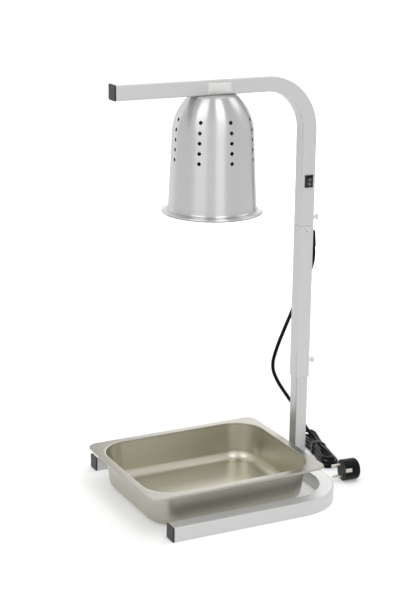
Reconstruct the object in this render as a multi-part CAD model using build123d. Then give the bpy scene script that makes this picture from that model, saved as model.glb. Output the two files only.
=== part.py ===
from build123d import *
import math
import os

# Food heat lamp on a height-adjustable stand, with a half-size food pan.
# Millimetres, +Z up, origin where the post's axis meets the table, -Y to the front.

os.makedirs("parts", exist_ok=True)

# Square tube of the base, the middle post and the arm
TUBE = 25.0
WALL = 1.5
CORNER = 2.0
SLIDE_GAP = 0.2
INNER_CORNER = 1.5

# Base frame, a U open to the front
BASE_HALF_WIDTH = 160.0
BASE_FRONT = -318.0
BASE_BEND = 80.0

# Plastic end caps
CAP_FLANGE = 2.5
CAP_PLUG = 12.0
CAP_GAP = 0.2
CAP_EDGE = 1.0

# Posts, by their end heights
LOWER_TOP = 240.0
MIDDLE_FOOT = 179.0
SEAM_Z = 447.0
STUB_FOOT = 397.0
STUB_TOP = 497.0
POST_OPENING_GAP = 0.15
FOOT_CHAMFER = 0.7

# Foot block, bolt and washer under the lower post
FOOT_BLOCK_H = 22.0
FOOT_BLOCK_GAP = 0.1
BOLT_D = 6.0
BOLT_LENGTH = 20.0
BOLT_HEAD_AF = 10.0
BOLT_HEAD_H = 4.0
BOLT_HOLE_GAP = 0.3
BOLT_THREAD_GAP = 0.05
WASHER_D = 12.0
WASHER_T = 1.2

# Clamp screws and their bosses
MAST_CLAMP_UP = 26.0
ARM_CLAMP_UP = 11.5
CLAMP_D = 5.0
CLAMP_FIT = 0.05
CLAMP_TIP_GAP = 0.05
CLAMP_BOSS_D = 8.0
CLAMP_BOSS_H = 5.0
CLAMP_NECK_D = 6.4
CLAMP_NECK_GAP = 0.5
CLAMP_HEAD_D = 9.6
CLAMP_HEAD_H = 4.0
CLAMP_END_OUT = 14.5
CLAMP_SLOT = 1.2

# Blind rivets through the middle post and the stub
RIVET_Z = 438.0
RIVET_D = 4.0
RIVET_GAP = 0.1
RIVET_HEAD_D = 6.6
RIVET_HEAD_H = 1.0
RIVET_BORE_D = 2.6

# Strain relief boot on the back of the middle post
BOOT_DOWN = 19.0
BOOT_PAD_W = 14.0
BOOT_PAD_H = 22.0
BOOT_PAD_T = 2.0
BOOT_PLUG_D = 9.0
BOOT_HOLE_GAP = 0.2
BOOT_ROOT_R = 5.0
BOOT_TIP_R = 4.3
BOOT_ROOT_UP = 4.0
BOOT_DROP = 24.0
BOOT_TIP_OUT = 7.6

# Wires inside the post and the arm, ending below and above the switch's middle
WIRE_D = 2.2
WIRE_PITCH = 2.4
FEED_BEND = 8.0
FEED_DOWN = 12.5
ARM_WIRE_UP = 16.5
ARM_WIRE_RISE = 6.0
ARM_WIRE_BEND = 11.0

# Arm
ARM_Z = 688.9
ARM_FRONT = -345.6
ARM_BEND = 80.0

# Rocker switch on the near face of the arm
SWITCH_Z = 523.5
BEZEL_W = 15.0
BEZEL_H = 21.0
BEZEL_T = 2.0
SWITCH_W = 13.2
SWITCH_H = 18.8
SWITCH_DEPTH = 12.0
SWITCH_CUT_GAP = 0.2
ROCKER_W = 9.8
ROCKER_HALF = 7.4
ROCKER_GAP = 0.3
ROCKER_END_GAP = 1.1
ROCKER_TILT = 9.0
ROCKER_FRONT = 5.0
ROCKER_DISH = 1.4
ROCKER_SHOULDER = 1.0
ROCKER_FOOT = 3.0
ROCKER_FOOT_HALF = 4.0
ROCKER_FOOT_GAP = 1.5
PIVOT_IN = 1.0
PIVOT_D = 2.4
PIVOT_FIT = 0.05
PIVOT_LENGTH = 0.9
PIVOT_END_GAP = 0.2
BLADE_W = 4.8
BLADE_T = 0.8
BLADE_OUT = 7.5
BLADE_IN = 3.0
BLADE_GAP = 0.1
BLADE_HALF_PITCH = 5.5

# Shade, spun from sheet about its own upright axis, as a vented bell and a plain skirt
LAMP_Y = -172.5
SHADE_H = 190.4
SHADE_T = 1.0
SHADE_FLAT_R = 36.6
SHADE_SHOULDER_R = 84.0
SHADE_WALL_R = 72.4
SHADE_WALL_UP = 4.0
SHADE_LEAN = 0.052
RIM_R = 83.0
RIM_BEAD = 4.0
RIM_SLOPE = 20.0
RIM_FLARE = 4.0
SKIRT_H = 40.0
VENT_D = 6.2
VENT_COLUMNS = 8
VENT_ROWS = 5
VENT_DOWN = 36.4
VENT_STEP = 16.0

# Threaded tube that hangs the shade and the lamp holder, from the arm's underside
NIPPLE_D = 10.0
NIPPLE_BORE = 8.0
NIPPLE_UP = 9.6
NIPPLE_DOWN = 16.4
NIPPLE_GAP = 0.05
NUT_AF = 14.0
NUT_H = 4.0
NIPPLE_WASHER_D = 20.0
NIPPLE_WASHER_T = 1.2

# Ceramic lamp holder with its shell and centre contact, in depths below the arm
HOLDER_TOP_DOWN = 8.4
HOLDER_STEP_DOWN = 28.4
HOLDER_FOOT_DOWN = 56.4
HOLDER_UPPER_D = 38.0
HOLDER_LOWER_D = 46.0
HOLDER_BORE_R = 15.2
HOLDER_ROOF_DOWN = 20.4
HOLDER_ROOM_R = 12.0
HOLDER_ROOM_FOOT_DOWN = 17.9
HOLDER_ROOM_TOP_DOWN = 13.4
SHELL_R = 15.1
SHELL_T = 0.7
SHELL_FOOT_DOWN = 50.4
CONTACT_T = 1.0
CONTACT_W = 8.0
CONTACT_L = 18.0

# Infrared reflector lamp
LAMP_D = 121.0
LAMP_LENGTH = 136.0
LAMP_CAP_R = 13.2
LAMP_CAP_H = 25.0
LAMP_BUTTON_R = 4.5
LAMP_BUTTON_H = 3.0
LAMP_NECK_R = 14.0
LAMP_NECK_H = 10.0
LAMP_SPIGOT_R = 12.0
LAMP_SPIGOT_H = 6.0
LAMP_SPIGOT_GAP = 0.1
LAMP_GLASS = 2.5
LENS_RISE = 17.0
LENS_T = 3.0
LENS_SIDE = 4.0

# Half-size gastronorm pan
PAN_X = 10.0
PAN_Y = -185.0
PAN_TURN = 0.8
PAN_L = 325.0
PAN_W = 265.0
PAN_H = 65.0
PAN_FLANGE = 13.5
PAN_OPEN_R = 52.0
PAN_RIM_R = 18.0
PAN_T = 0.8
PAN_DRAFT = 7.5
PAN_LIP = 3.0
PAN_FOOT_R = 16.0
PAN_EDGE_R = 1.2

# Mains cord
CORD_D = 6.5
CORD_FLOOR_GAP = 0.05
CORD_LAND = 9.5
CORD_TAIL_END = 11.0
CORD_OUT = 18.0

# Free cord: points of its bow beside the post, and of its landing in the hank's own frame
BOW = [
    (-10, 22.5, 367),
    (-27, 21, 338),
    (-50, 19, 302),
    (-77, 16, 254),
    (-98, 11, 203),
    (-106, 8.5, 166),
    (-109, 19, 135),
    (-108, 38, 101),
]
LANDING = [(-52, -20, 66), (-42, -8, 36), (-27, 1.5, 24)]

# Hank: loops folded to and fro in three layers, drawn in at a tied waist
HANK_X = -53.5
HANK_Y = 73.4
HANK_YAW = -10.5
HANK_HALF = 58.0
HANK_WAIST = 7.0
HANK_STEP = 7.2
HANK_LAYER = 7.6
HANK_DRAW = 4.0
HANK_LIFT = 1.8
HANK_LAYERS = 3
TIE_W = 10.0
TIE_T = 1.2
TIE_GAP = 0.3

# Angled mains plug, lying on its side
PLUG_X = 69.0
PLUG_Y = 66.0
PLUG_D = 37.6
PLUG_DEPTH = 29.0
PLUG_YAW = 4.0
PLUG_ROLL = 16.5
PLUG_FLOOR_GAP = 0.2
PLUG_TAIL = 40.0
PLUG_TAIL_BACK = 6.0
PLUG_TAIL_ROOT_R = 6.5
PLUG_TAIL_TIP_R = 4.2
PIN_D = 4.8
PIN_OUT = 19.0
PIN_IN = 6.0
PIN_HALF_PITCH = 9.5
PIN_GAP = 0.05
CLIP_W = 6.5
CLIP_T = 1.0
CLIP_L = 12.0
CLIP_RECESS = 2.6
CLIP_GAP = 0.3

# Derived sizes
HALF = TUBE / 2
INSIDE = TUBE - 2 * WALL
SLIM = INSIDE - 2 * SLIDE_GAP
SLIM_HALF = SLIM / 2
SLIM_INSIDE = SLIM - 2 * WALL
MAST_CLAMP_Z = MIDDLE_FOOT + MAST_CLAMP_UP
ARM_CLAMP_Z = SEAM_Z + ARM_CLAMP_UP
BOOT_Z = SEAM_Z - BOOT_DOWN
UNDER_ARM = ARM_Z - HALF
RIM_Z = UNDER_ARM - SHADE_H
SHADE_WALL_Z = RIM_Z + SHADE_WALL_UP
VENT_TOP = UNDER_ARM - VENT_DOWN
NIPPLE_TOP = UNDER_ARM + NIPPLE_UP
NIPPLE_FOOT = UNDER_ARM - NIPPLE_DOWN
HOLDER_TOP = UNDER_ARM - HOLDER_TOP_DOWN
HOLDER_STEP_Z = UNDER_ARM - HOLDER_STEP_DOWN
HOLDER_FOOT = UNDER_ARM - HOLDER_FOOT_DOWN
HOLDER_ROOF = UNDER_ARM - HOLDER_ROOF_DOWN
HOLDER_ROOM_FOOT = UNDER_ARM - HOLDER_ROOM_FOOT_DOWN
HOLDER_ROOM_TOP = UNDER_ARM - HOLDER_ROOM_TOP_DOWN
SHELL_FOOT = UNDER_ARM - SHELL_FOOT_DOWN
FEED_TOP = SWITCH_Z - FEED_DOWN
ARM_WIRE_FOOT = SWITCH_Z + ARM_WIRE_UP
BASE_MIN = (Align.CENTER, Align.CENTER, Align.MIN)
BACK = (0, 1, 0)
UP = (0, 0, 1)


def save(node, shape):
    """Write one node of the assembly."""
    export_step(shape, f"parts/{node}.step")


def rod(diameter, start, direction, length):
    """A round bar from a point along a direction."""
    return Plane(origin=start, z_dir=direction) * Cylinder(diameter / 2, length, align=BASE_MIN)


def hexagon(across_flats, start, direction, length):
    """A six-sided bar from a point along a direction."""
    outline = RegularPolygon(across_flats / 2, 6, major_radius=False)
    return extrude(Plane(origin=start, z_dir=direction) * outline, amount=length)


def square_bar(width, corner, z0, z1):
    """An upright square bar with rounded corners."""
    return extrude(Pos(0, 0, z0) * RectangleRounded(width, width, corner), amount=z1 - z0)


def square_tube(width, corner, z0, z1):
    """An upright square tube."""
    inner = max(corner - WALL, 0.5)
    return square_bar(width, corner, z0, z1) - square_bar(width - 2 * WALL, inner, z0, z1)


def bent_tube(points, bend, x_dir):
    """A square tube swept along a filleted route."""
    route = FilletPolyline(*points, radius=bend)
    first = Plane(origin=route @ 0, x_dir=x_dir, z_dir=route % 0)
    outer = sweep(first * RectangleRounded(TUBE, TUBE, CORNER), path=route)
    inner = sweep(first * RectangleRounded(INSIDE, INSIDE, max(CORNER - WALL, 0.5)), path=route)
    return outer - inner


def end_cap(end):
    """A push-in cap: a flange on the tube's end and a hollow plug inside it."""
    width = INSIDE - 2 * CAP_GAP
    flange = extrude(RectangleRounded(TUBE, TUBE, CORNER), amount=CAP_FLANGE)
    flange = fillet(flange.faces().sort_by(Axis.Z)[-1].edges(), CAP_EDGE)
    plug = extrude(RectangleRounded(width, width, 0.8), amount=-CAP_PLUG)
    hollow = extrude(RectangleRounded(width - 4, width - 4, 0.5), amount=-CAP_PLUG)
    return end * (flange + plug - hollow)


def unit(v):
    """A vector of length one."""
    return Vector(*v).normalized()


# Base frame
base_route = [
    (-BASE_HALF_WIDTH, BASE_FRONT, HALF),
    (-BASE_HALF_WIDTH, 0, HALF),
    (BASE_HALF_WIDTH, 0, HALF),
    (BASE_HALF_WIDTH, BASE_FRONT, HALF),
]
base_frame = bent_tube(base_route, BASE_BEND, (1, 0, 0))
opening = SLIM + 2 * POST_OPENING_GAP
base_frame -= square_bar(opening, INNER_CORNER, HALF, TUBE + 1)
base_frame -= rod(BOLT_D + 2 * BOLT_HOLE_GAP, (0, HALF - 2 * WALL, HALF), BACK, 3 * WALL)
save("base_frame", base_frame)
for side, name in ((-1, "base_cap_left"), (1, "base_cap_right")):
    end = Plane(origin=(side * BASE_HALF_WIDTH, BASE_FRONT, HALF), x_dir=(1, 0, 0), z_dir=(0, -1, 0))
    save(name, end_cap(end))

# Lower post with its foot block, bolt and washer
lower_post = square_tube(SLIM, INNER_CORNER, WALL, LOWER_TOP)
foot_edges = lower_post.faces().sort_by(Axis.Z)[0].outer_wire().edges()
lower_post = chamfer(foot_edges, FOOT_CHAMFER)
lower_post -= rod(BOLT_D + 2 * BOLT_HOLE_GAP, (0, SLIM_INSIDE / 2 - 1, HALF), BACK, WALL + 2)
save("lower_post", lower_post)
block_width = SLIM_INSIDE - 2 * FOOT_BLOCK_GAP
foot_block = square_bar(block_width, 0.8, WALL, WALL + FOOT_BLOCK_H)
foot_block -= rod(BOLT_D + 2 * BOLT_THREAD_GAP, (0, -block_width, HALF), BACK, 2 * block_width)
save("post_foot_block", foot_block)
head_y = HALF + WASHER_T
post_bolt = hexagon(BOLT_HEAD_AF, (0, head_y, HALF), BACK, BOLT_HEAD_H)
post_bolt += rod(BOLT_D, (0, head_y - BOLT_LENGTH, HALF), BACK, BOLT_LENGTH)
save("post_bolt", post_bolt)
post_washer = rod(WASHER_D, (0, HALF, HALF), BACK, WASHER_T)
post_washer -= rod(BOLT_D + 2 * BOLT_HOLE_GAP, (0, HALF, HALF), BACK, WASHER_T)
save("post_washer", post_washer)

# Middle post and the stub riveted in its top
clamp_hole = CLAMP_D + 2 * CLAMP_FIT
boot_hole = BOOT_PLUG_D + 2 * BOOT_HOLE_GAP
middle_post = square_tube(TUBE, CORNER, MIDDLE_FOOT, SEAM_Z)
middle_post -= rod(clamp_hole, (0, HALF - 2 * WALL, MAST_CLAMP_Z), BACK, 3 * WALL)
middle_post -= rod(boot_hole, (0, HALF - 2 * WALL, BOOT_Z), BACK, 3 * WALL)
joint_stub = square_tube(SLIM, INNER_CORNER, STUB_FOOT, STUB_TOP)
joint_stub -= rod(boot_hole, (0, SLIM_HALF - 2 * WALL, BOOT_Z), BACK, 3 * WALL)
rivet_hole = RIVET_D + 2 * RIVET_GAP
middle_post -= rod(rivet_hole, (-TUBE, 0, RIVET_Z), (1, 0, 0), 2 * TUBE)
joint_stub -= rod(rivet_hole, (-TUBE, 0, RIVET_Z), (1, 0, 0), 2 * TUBE)
save("middle_post", middle_post)
save("joint_stub", joint_stub)
rivets = []
for side in (-1, 1):
    face = (side * HALF, 0, RIVET_Z)
    inner = SLIM_HALF - WALL - 1
    rivet = rod(RIVET_HEAD_D, face, (side, 0, 0), RIVET_HEAD_H)
    rivet += rod(RIVET_D, (side * inner, 0, RIVET_Z), (side, 0, 0), HALF - inner)
    rivet -= rod(RIVET_BORE_D, (side * inner, 0, RIVET_Z), (side, 0, 0), HALF - inner + RIVET_HEAD_H)
    rivets.append(rivet.solid())
save("stub_rivets", Compound(rivets))


# Clamp screws in their bosses
def clamp_boss(z):
    """A plain round boss welded on the back face."""
    boss = rod(CLAMP_BOSS_D, (0, HALF, z), BACK, CLAMP_BOSS_H)
    return boss - rod(clamp_hole, (0, HALF, z), BACK, CLAMP_BOSS_H)


def clamp_screw(z):
    """A thumb screw with a slot across its head, its tip just short of the inner post."""
    tip = SLIM_HALF + CLAMP_TIP_GAP
    neck = HALF + CLAMP_BOSS_H + CLAMP_NECK_GAP
    end = HALF + CLAMP_END_OUT
    screw = rod(CLAMP_D, (0, tip, z), BACK, neck - tip)
    screw += rod(CLAMP_NECK_D, (0, neck, z), BACK, end - CLAMP_HEAD_H - neck)
    head = rod(CLAMP_HEAD_D, (0, end - CLAMP_HEAD_H, z), BACK, CLAMP_HEAD_H)
    screw += chamfer(head.faces().sort_by(Axis.Y)[-1].edges(), 0.6)
    return screw - Pos(0, end, z) * Box(2 * CLAMP_HEAD_D, 2 * CLAMP_SLOT, CLAMP_SLOT)


save("mast_clamp_boss", clamp_boss(MAST_CLAMP_Z))
save("mast_clamp_screw", clamp_screw(MAST_CLAMP_Z))
save("arm_clamp_boss", clamp_boss(ARM_CLAMP_Z))
save("arm_clamp_screw", clamp_screw(ARM_CLAMP_Z))

# Strain relief boot
boot_root = Vector(0, HALF + BOOT_ROOT_R, BOOT_Z + BOOT_ROOT_UP)
boot_tip = Vector(0, HALF + BOOT_TIP_OUT, BOOT_Z + BOOT_ROOT_UP - BOOT_DROP)
boot_axis = (boot_tip - boot_root).normalized()
boot_pad = Plane(origin=(0, HALF, BOOT_Z), x_dir=(1, 0, 0), z_dir=BACK) * RectangleRounded(
    BOOT_PAD_W, BOOT_PAD_H, 3
)
cord_boot = extrude(boot_pad, amount=BOOT_PAD_T)
snout = Plane(origin=boot_root, z_dir=boot_axis) * Cone(
    BOOT_ROOT_R, BOOT_TIP_R, (boot_tip - boot_root).length, align=BASE_MIN
)
cord_boot += snout + Pos(boot_root) * Sphere(BOOT_ROOT_R)
cord_boot -= Pos(0, HALF - BOOT_ROOT_R, BOOT_Z) * Box(2 * BOOT_PAD_H, 2 * BOOT_ROOT_R, 4 * BOOT_PAD_H)
boot_inner = SLIM_HALF - WALL - 0.5
cord_boot += rod(BOOT_PLUG_D, (0, boot_inner, BOOT_Z), BACK, HALF + 1 - boot_inner)
save("cord_boot", cord_boot)

# Wires inside the post: from the boot up to the switch
wire_offsets = [-WIRE_PITCH, 0, WIRE_PITCH]
feed = []
for x in wire_offsets:
    route = FilletPolyline(
        (x, boot_inner, BOOT_Z), (x, -1, BOOT_Z), (x, -1, FEED_TOP), radius=FEED_BEND
    )
    feed.append(sweep(Plane(origin=route @ 0, z_dir=route % 0) * Circle(WIRE_D / 2), path=route).solid())
save("feed_wires", Compound(feed))

# Arm
arm_tube = bent_tube([(0, 0, SEAM_Z), (0, 0, ARM_Z), (0, ARM_FRONT, ARM_Z)], ARM_BEND, (1, 0, 0))
arm_tube -= rod(clamp_hole, (0, HALF - 2 * WALL, ARM_CLAMP_Z), BACK, 3 * WALL)
arm_tube -= Pos(HALF, 0, SWITCH_Z) * Box(
    4 * WALL, SWITCH_W + 2 * SWITCH_CUT_GAP, SWITCH_H + 2 * SWITCH_CUT_GAP
)
nipple_hole = NIPPLE_D + 2 * NIPPLE_GAP
arm_tube -= rod(nipple_hole, (0, LAMP_Y, UNDER_ARM - 1), UP, WALL + 2)
save("arm_tube", arm_tube)
arm_end = Plane(origin=(0, ARM_FRONT, ARM_Z), x_dir=(1, 0, 0), z_dir=(0, -1, 0))
save("arm_cap", end_cap(arm_end))

# Rocker switch: housing, rocker and terminals
pivot_x = HALF - PIVOT_IN
cavity_w = ROCKER_W + 2 * ROCKER_GAP
cavity_h = 2 * (ROCKER_HALF + ROCKER_END_GAP)
cavity_foot = pivot_x - ROCKER_FOOT - ROCKER_FOOT_GAP
housing = Pos(HALF, 0, SWITCH_Z) * Box(
    BEZEL_T, BEZEL_W, BEZEL_H, align=(Align.MIN, Align.CENTER, Align.CENTER)
)
housing = chamfer(housing.faces().sort_by(Axis.X)[-1].edges(), 0.6)
housing += Pos(HALF, 0, SWITCH_Z) * Box(
    SWITCH_DEPTH, SWITCH_W, SWITCH_H, align=(Align.MAX, Align.CENTER, Align.CENTER)
)
housing -= Pos(cavity_foot, 0, SWITCH_Z) * Box(
    HALF + BEZEL_T - cavity_foot, cavity_w, cavity_h, align=(Align.MIN, Align.CENTER, Align.CENTER)
)
pin_hole = ROCKER_W + 2 * (PIVOT_LENGTH + PIVOT_END_GAP)
housing -= rod(PIVOT_D + 2 * PIVOT_FIT, (pivot_x, -pin_hole / 2, SWITCH_Z), BACK, pin_hole)
switch_back = HALF - SWITCH_DEPTH
blades = []
for side in (-1, 1):
    z = SWITCH_Z + side * BLADE_HALF_PITCH
    slot = Box(2 * BLADE_IN, BLADE_W + 2 * BLADE_GAP, BLADE_T + 2 * BLADE_GAP)
    housing -= Pos(switch_back, 0, z) * slot
    blade = Box(BLADE_IN + BLADE_OUT, BLADE_W, BLADE_T, align=(Align.MAX, Align.CENTER, Align.CENTER))
    blades.append((Pos(switch_back + BLADE_IN, 0, z) * blade).solid())
save("switch_housing", housing)
save("switch_terminals", Compound(blades))
rocker_tips = [(ROCKER_FRONT, 0, side * ROCKER_HALF) for side in (1, -1)]
rocker_edges = Polyline(
    (-ROCKER_FOOT, 0, -ROCKER_FOOT_HALF),
    (-ROCKER_FOOT, 0, ROCKER_FOOT_HALF),
    (ROCKER_SHOULDER, 0, ROCKER_HALF),
    rocker_tips[0],
)
rocker_edges += ThreePointArc(rocker_tips[0], (ROCKER_FRONT - ROCKER_DISH, 0, 0), rocker_tips[1])
rocker_edges += Polyline(
    rocker_tips[1], (ROCKER_SHOULDER, 0, -ROCKER_HALF), (-ROCKER_FOOT, 0, -ROCKER_FOOT_HALF)
)
rocker = extrude(make_face(rocker_edges), amount=ROCKER_W / 2, both=True)
stub_length = ROCKER_W + 2 * PIVOT_LENGTH
rocker += rod(PIVOT_D, (0, -stub_length / 2, 0), BACK, stub_length)
save("switch_rocker", Pos(pivot_x, 0, SWITCH_Z) * Rot(0, ROCKER_TILT, 0) * rocker)

# Wires from the switch along the arm to the lamp holder
wires = []
wire_top = ARM_Z + ARM_WIRE_RISE
for x in wire_offsets:
    points = [(x, 0, ARM_WIRE_FOOT), (x, 0, wire_top), (x, LAMP_Y, wire_top), (x, LAMP_Y, NIPPLE_FOOT - 1)]
    route = FilletPolyline(*points, radius=[ARM_BEND, ARM_WIRE_BEND])
    wires.append(sweep(Plane(origin=route @ 0, z_dir=route % 0) * Circle(WIRE_D / 2), path=route).solid())
save("lamp_wires", Compound(wires))

# Shade
shade_top = UNDER_ARM
lean = math.hypot(1, SHADE_LEAN)
wall_up = (-SHADE_LEAN / lean, 1 / lean)
wall_in = (-1 / lean, -SHADE_LEAN / lean)
offset_x = SHADE_WALL_R + SHADE_SHOULDER_R * wall_in[0] - SHADE_FLAT_R
offset_z = SHADE_WALL_Z + SHADE_SHOULDER_R * wall_in[1] - shade_top
along = offset_x * wall_up[0] + offset_z * wall_up[1]
reach = -along - math.sqrt(along ** 2 - offset_x ** 2 - offset_z ** 2 + SHADE_SHOULDER_R ** 2)
centre_r = SHADE_FLAT_R + offset_x + reach * wall_up[0]
centre_z = shade_top + offset_z + reach * wall_up[1]
bead_r = RIM_R - RIM_BEAD / 2
bead_z = RIM_Z + RIM_BEAD / 2
slope = math.tan(math.radians(RIM_SLOPE))


def shoulder_point(radius, fraction, flat_r, flat_z):
    """A point of the shoulder's arc, from the flat's edge (0) to the wall (1)."""
    first = math.atan2(flat_z - centre_z, flat_r - centre_r)
    last = math.atan2(-wall_in[1], -wall_in[0])
    angle = first + (last - first) * fraction
    return (centre_r + radius * math.cos(angle), 0, centre_z + radius * math.sin(angle))


def flare_point(inset, drop):
    """Where the wall, set in by the inset, meets the rim's slope, lowered by the drop."""
    rise = (bead_z + slope * bead_r - drop) - slope * (SHADE_WALL_R - inset * lean)
    z = (rise + SHADE_LEAN * slope * -SHADE_WALL_Z) / (1 - SHADE_LEAN * slope)
    return (SHADE_WALL_R - inset * lean - SHADE_LEAN * (z - SHADE_WALL_Z), 0, z)


half_drop = SHADE_T / 2 / math.cos(math.radians(RIM_SLOPE))
inner_flat_z = shade_top - SHADE_T
inner_flat_r = centre_r + math.sqrt((SHADE_SHOULDER_R - SHADE_T) ** 2 - (inner_flat_z - centre_z) ** 2)
outer_arc = [shoulder_point(SHADE_SHOULDER_R, f, SHADE_FLAT_R, shade_top) for f in (0, 0.5, 1)]
inner_arc = [shoulder_point(SHADE_SHOULDER_R - SHADE_T, f, inner_flat_r, inner_flat_z) for f in (1, 0.5, 0)]
flare_out = flare_point(0, -half_drop)
flare_in = flare_point(SHADE_T, half_drop)
hole_r = nipple_hole / 2
profile = Line((hole_r, 0, shade_top), outer_arc[0])
profile += ThreePointArc(*outer_arc)
rim_top = (bead_r, 0, bead_z + half_drop)
rim_under = (bead_r, 0, bead_z - half_drop)
profile += Polyline(outer_arc[2], flare_out, rim_top, rim_under, flare_in, inner_arc[0])
profile += ThreePointArc(*inner_arc)
profile += Polyline(inner_arc[2], (hole_r, 0, inner_flat_z), (hole_r, 0, shade_top))
sheet = make_face(profile)
corners = sheet.vertices()
sheet = fillet(corners.sort_by_distance(flare_out)[0], RIM_FLARE)
sheet = fillet(sheet.vertices().sort_by_distance(flare_in)[0], RIM_FLARE + SHADE_T)
bead = Plane(origin=(bead_r, 0, bead_z), x_dir=(1, 0, 0), z_dir=(0, -1, 0)) * Circle(RIM_BEAD / 2)
shade = revolve(sheet, axis=Axis.Z) + revolve(bead, axis=Axis.Z)
for row in range(VENT_ROWS):
    for column in range(VENT_COLUMNS // 2):
        turn = Rot(0, 0, 360 / VENT_COLUMNS * column)
        shade -= turn * rod(VENT_D, (-RIM_R, 0, VENT_TOP - row * VENT_STEP), (1, 0, 0), 2 * RIM_R)
seam = Plane(origin=(0, 0, RIM_Z + SKIRT_H))
save("shade", Pos(0, LAMP_Y, 0) * split(shade, bisect_by=seam, keep=Keep.TOP))
save("shade_skirt", Pos(0, LAMP_Y, 0) * split(shade, bisect_by=seam, keep=Keep.BOTTOM))

# Threaded tube, nuts and washers
nipple = rod(NIPPLE_D, (0, LAMP_Y, NIPPLE_FOOT), UP, NIPPLE_TOP - NIPPLE_FOOT)
nipple -= rod(NIPPLE_BORE, (0, LAMP_Y, NIPPLE_FOOT), UP, NIPPLE_TOP - NIPPLE_FOOT)
save("lamp_nipple", nipple)
upper_seat = UNDER_ARM + WALL
lower_seat = shade_top - SHADE_T
washers = []
nuts = []
for seat, direction in ((upper_seat, 1), (lower_seat, -1)):
    axis = (0, 0, direction)
    washer = rod(NIPPLE_WASHER_D, (0, LAMP_Y, seat), axis, NIPPLE_WASHER_T)
    washer -= rod(nipple_hole, (0, LAMP_Y, seat), axis, NIPPLE_WASHER_T)
    washers.append(washer.solid())
    face = seat + direction * NIPPLE_WASHER_T
    nut = hexagon(NUT_AF, (0, LAMP_Y, face), axis, NUT_H)
    nut -= rod(nipple_hole, (0, LAMP_Y, face), axis, NUT_H)
    nuts.append(nut.solid())
save("nipple_washers", Compound(washers))
save("nipple_nuts", Compound(nuts))

# Lamp holder
holder = rod(HOLDER_UPPER_D, (0, LAMP_Y, HOLDER_STEP_Z), UP, HOLDER_TOP - HOLDER_STEP_Z)
holder = fillet(holder.faces().sort_by(Axis.Z)[-1].edges(), 3)
holder += rod(HOLDER_LOWER_D, (0, LAMP_Y, HOLDER_FOOT), UP, HOLDER_STEP_Z - HOLDER_FOOT)
holder -= rod(2 * HOLDER_BORE_R, (0, LAMP_Y, HOLDER_FOOT), UP, HOLDER_ROOF - HOLDER_FOOT)
holder -= rod(2 * HOLDER_ROOM_R, (0, LAMP_Y, HOLDER_ROOM_FOOT), UP, HOLDER_ROOM_TOP - HOLDER_ROOM_FOOT)
holder -= rod(nipple_hole, (0, LAMP_Y, HOLDER_ROOM_TOP), UP, HOLDER_TOP - HOLDER_ROOM_TOP)
save("lamp_holder", holder)
shell_top = HOLDER_ROOF - CONTACT_T - LAMP_BUTTON_H
shell = rod(2 * SHELL_R, (0, LAMP_Y, SHELL_FOOT), UP, shell_top - SHELL_FOOT)
shell -= rod(2 * (SHELL_R - SHELL_T), (0, LAMP_Y, SHELL_FOOT), UP, shell_top - SHELL_FOOT)
save("holder_shell", shell)
contact_z = HOLDER_ROOF - CONTACT_T
contact = Pos(0, LAMP_Y, contact_z) * Box(CONTACT_L, CONTACT_W, CONTACT_T, align=BASE_MIN)
save("holder_contact", contact)

# Infrared reflector lamp: cap, bowl and lens
lamp_top = contact_z
cap_top = lamp_top - LAMP_BUTTON_H
cap_foot = cap_top - LAMP_CAP_H
lamp_cap = rod(2 * LAMP_CAP_R, (0, LAMP_Y, cap_foot), UP, LAMP_CAP_H)
lamp_cap = chamfer(lamp_cap.faces().sort_by(Axis.Z)[-1].edges(), 3)
lamp_cap += rod(2 * LAMP_BUTTON_R, (0, LAMP_Y, cap_top), UP, LAMP_BUTTON_H)
lamp_cap -= rod(2 * (LAMP_SPIGOT_R + LAMP_SPIGOT_GAP), (0, LAMP_Y, cap_foot), UP, LAMP_SPIGOT_H)
save("lamp_cap", lamp_cap)
lens_z = lamp_top - LAMP_LENGTH + LENS_RISE
neck_foot = cap_foot - LAMP_NECK_H
lamp_r = LAMP_D / 2
rim_z = lens_z + 5


def bowl_face(inset):
    """Half section of the bowl's outside, or of its inside when set in."""
    neck = LAMP_NECK_R - inset
    wide = lamp_r - inset
    middle = (neck + (wide - neck) * 0.72, 0, rim_z + (neck_foot - rim_z) * 0.6)
    spigot = LAMP_SPIGOT_R - inset
    edges = Polyline((0, 0, lens_z), (wide, 0, lens_z), (wide, 0, rim_z))
    edges += ThreePointArc((wide, 0, rim_z), middle, (neck, 0, neck_foot))
    top = cap_foot + LAMP_SPIGOT_H - inset
    shoulder = cap_foot - inset
    edges += Polyline((neck, 0, neck_foot), (neck, 0, shoulder), (spigot, 0, shoulder), (spigot, 0, top))
    edges += Polyline((spigot, 0, top), (0, 0, top), (0, 0, lens_z))
    return make_face(edges)


bowl = revolve(bowl_face(0), axis=Axis.Z) - revolve(bowl_face(LAMP_GLASS), axis=Axis.Z)
save("lamp_reflector", Pos(0, LAMP_Y, 0) * bowl)
lens_foot = lens_z - LENS_RISE
lens_edge = lens_z - LENS_SIDE
sag = LENS_RISE - LENS_SIDE
lens_radius = (lamp_r ** 2 + sag ** 2) / (2 * sag)
lens_centre = lens_foot + lens_radius


def lens_point(radius, r):
    """A point of the lens's outer or inner sphere."""
    return (r, 0, lens_centre - math.sqrt(radius ** 2 - r ** 2))


inner_radius = lens_radius - LENS_T
inner_r = lamp_r - LENS_T
lens_outer = [lens_point(lens_radius, lamp_r * f) for f in (0, 0.5, 1)]
lens_inner = [lens_point(inner_radius, inner_r * f) for f in (1, 0.5, 0)]
lens = ThreePointArc(*lens_outer)
lens += Polyline(lens_outer[2], (lamp_r, 0, lens_z), (inner_r, 0, lens_z), lens_inner[0])
lens += ThreePointArc(*lens_inner)
lens += Line(lens_inner[2], lens_outer[0])
save("lamp_lens", Pos(0, LAMP_Y, 0) * revolve(make_face(lens), axis=Axis.Z))

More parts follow.
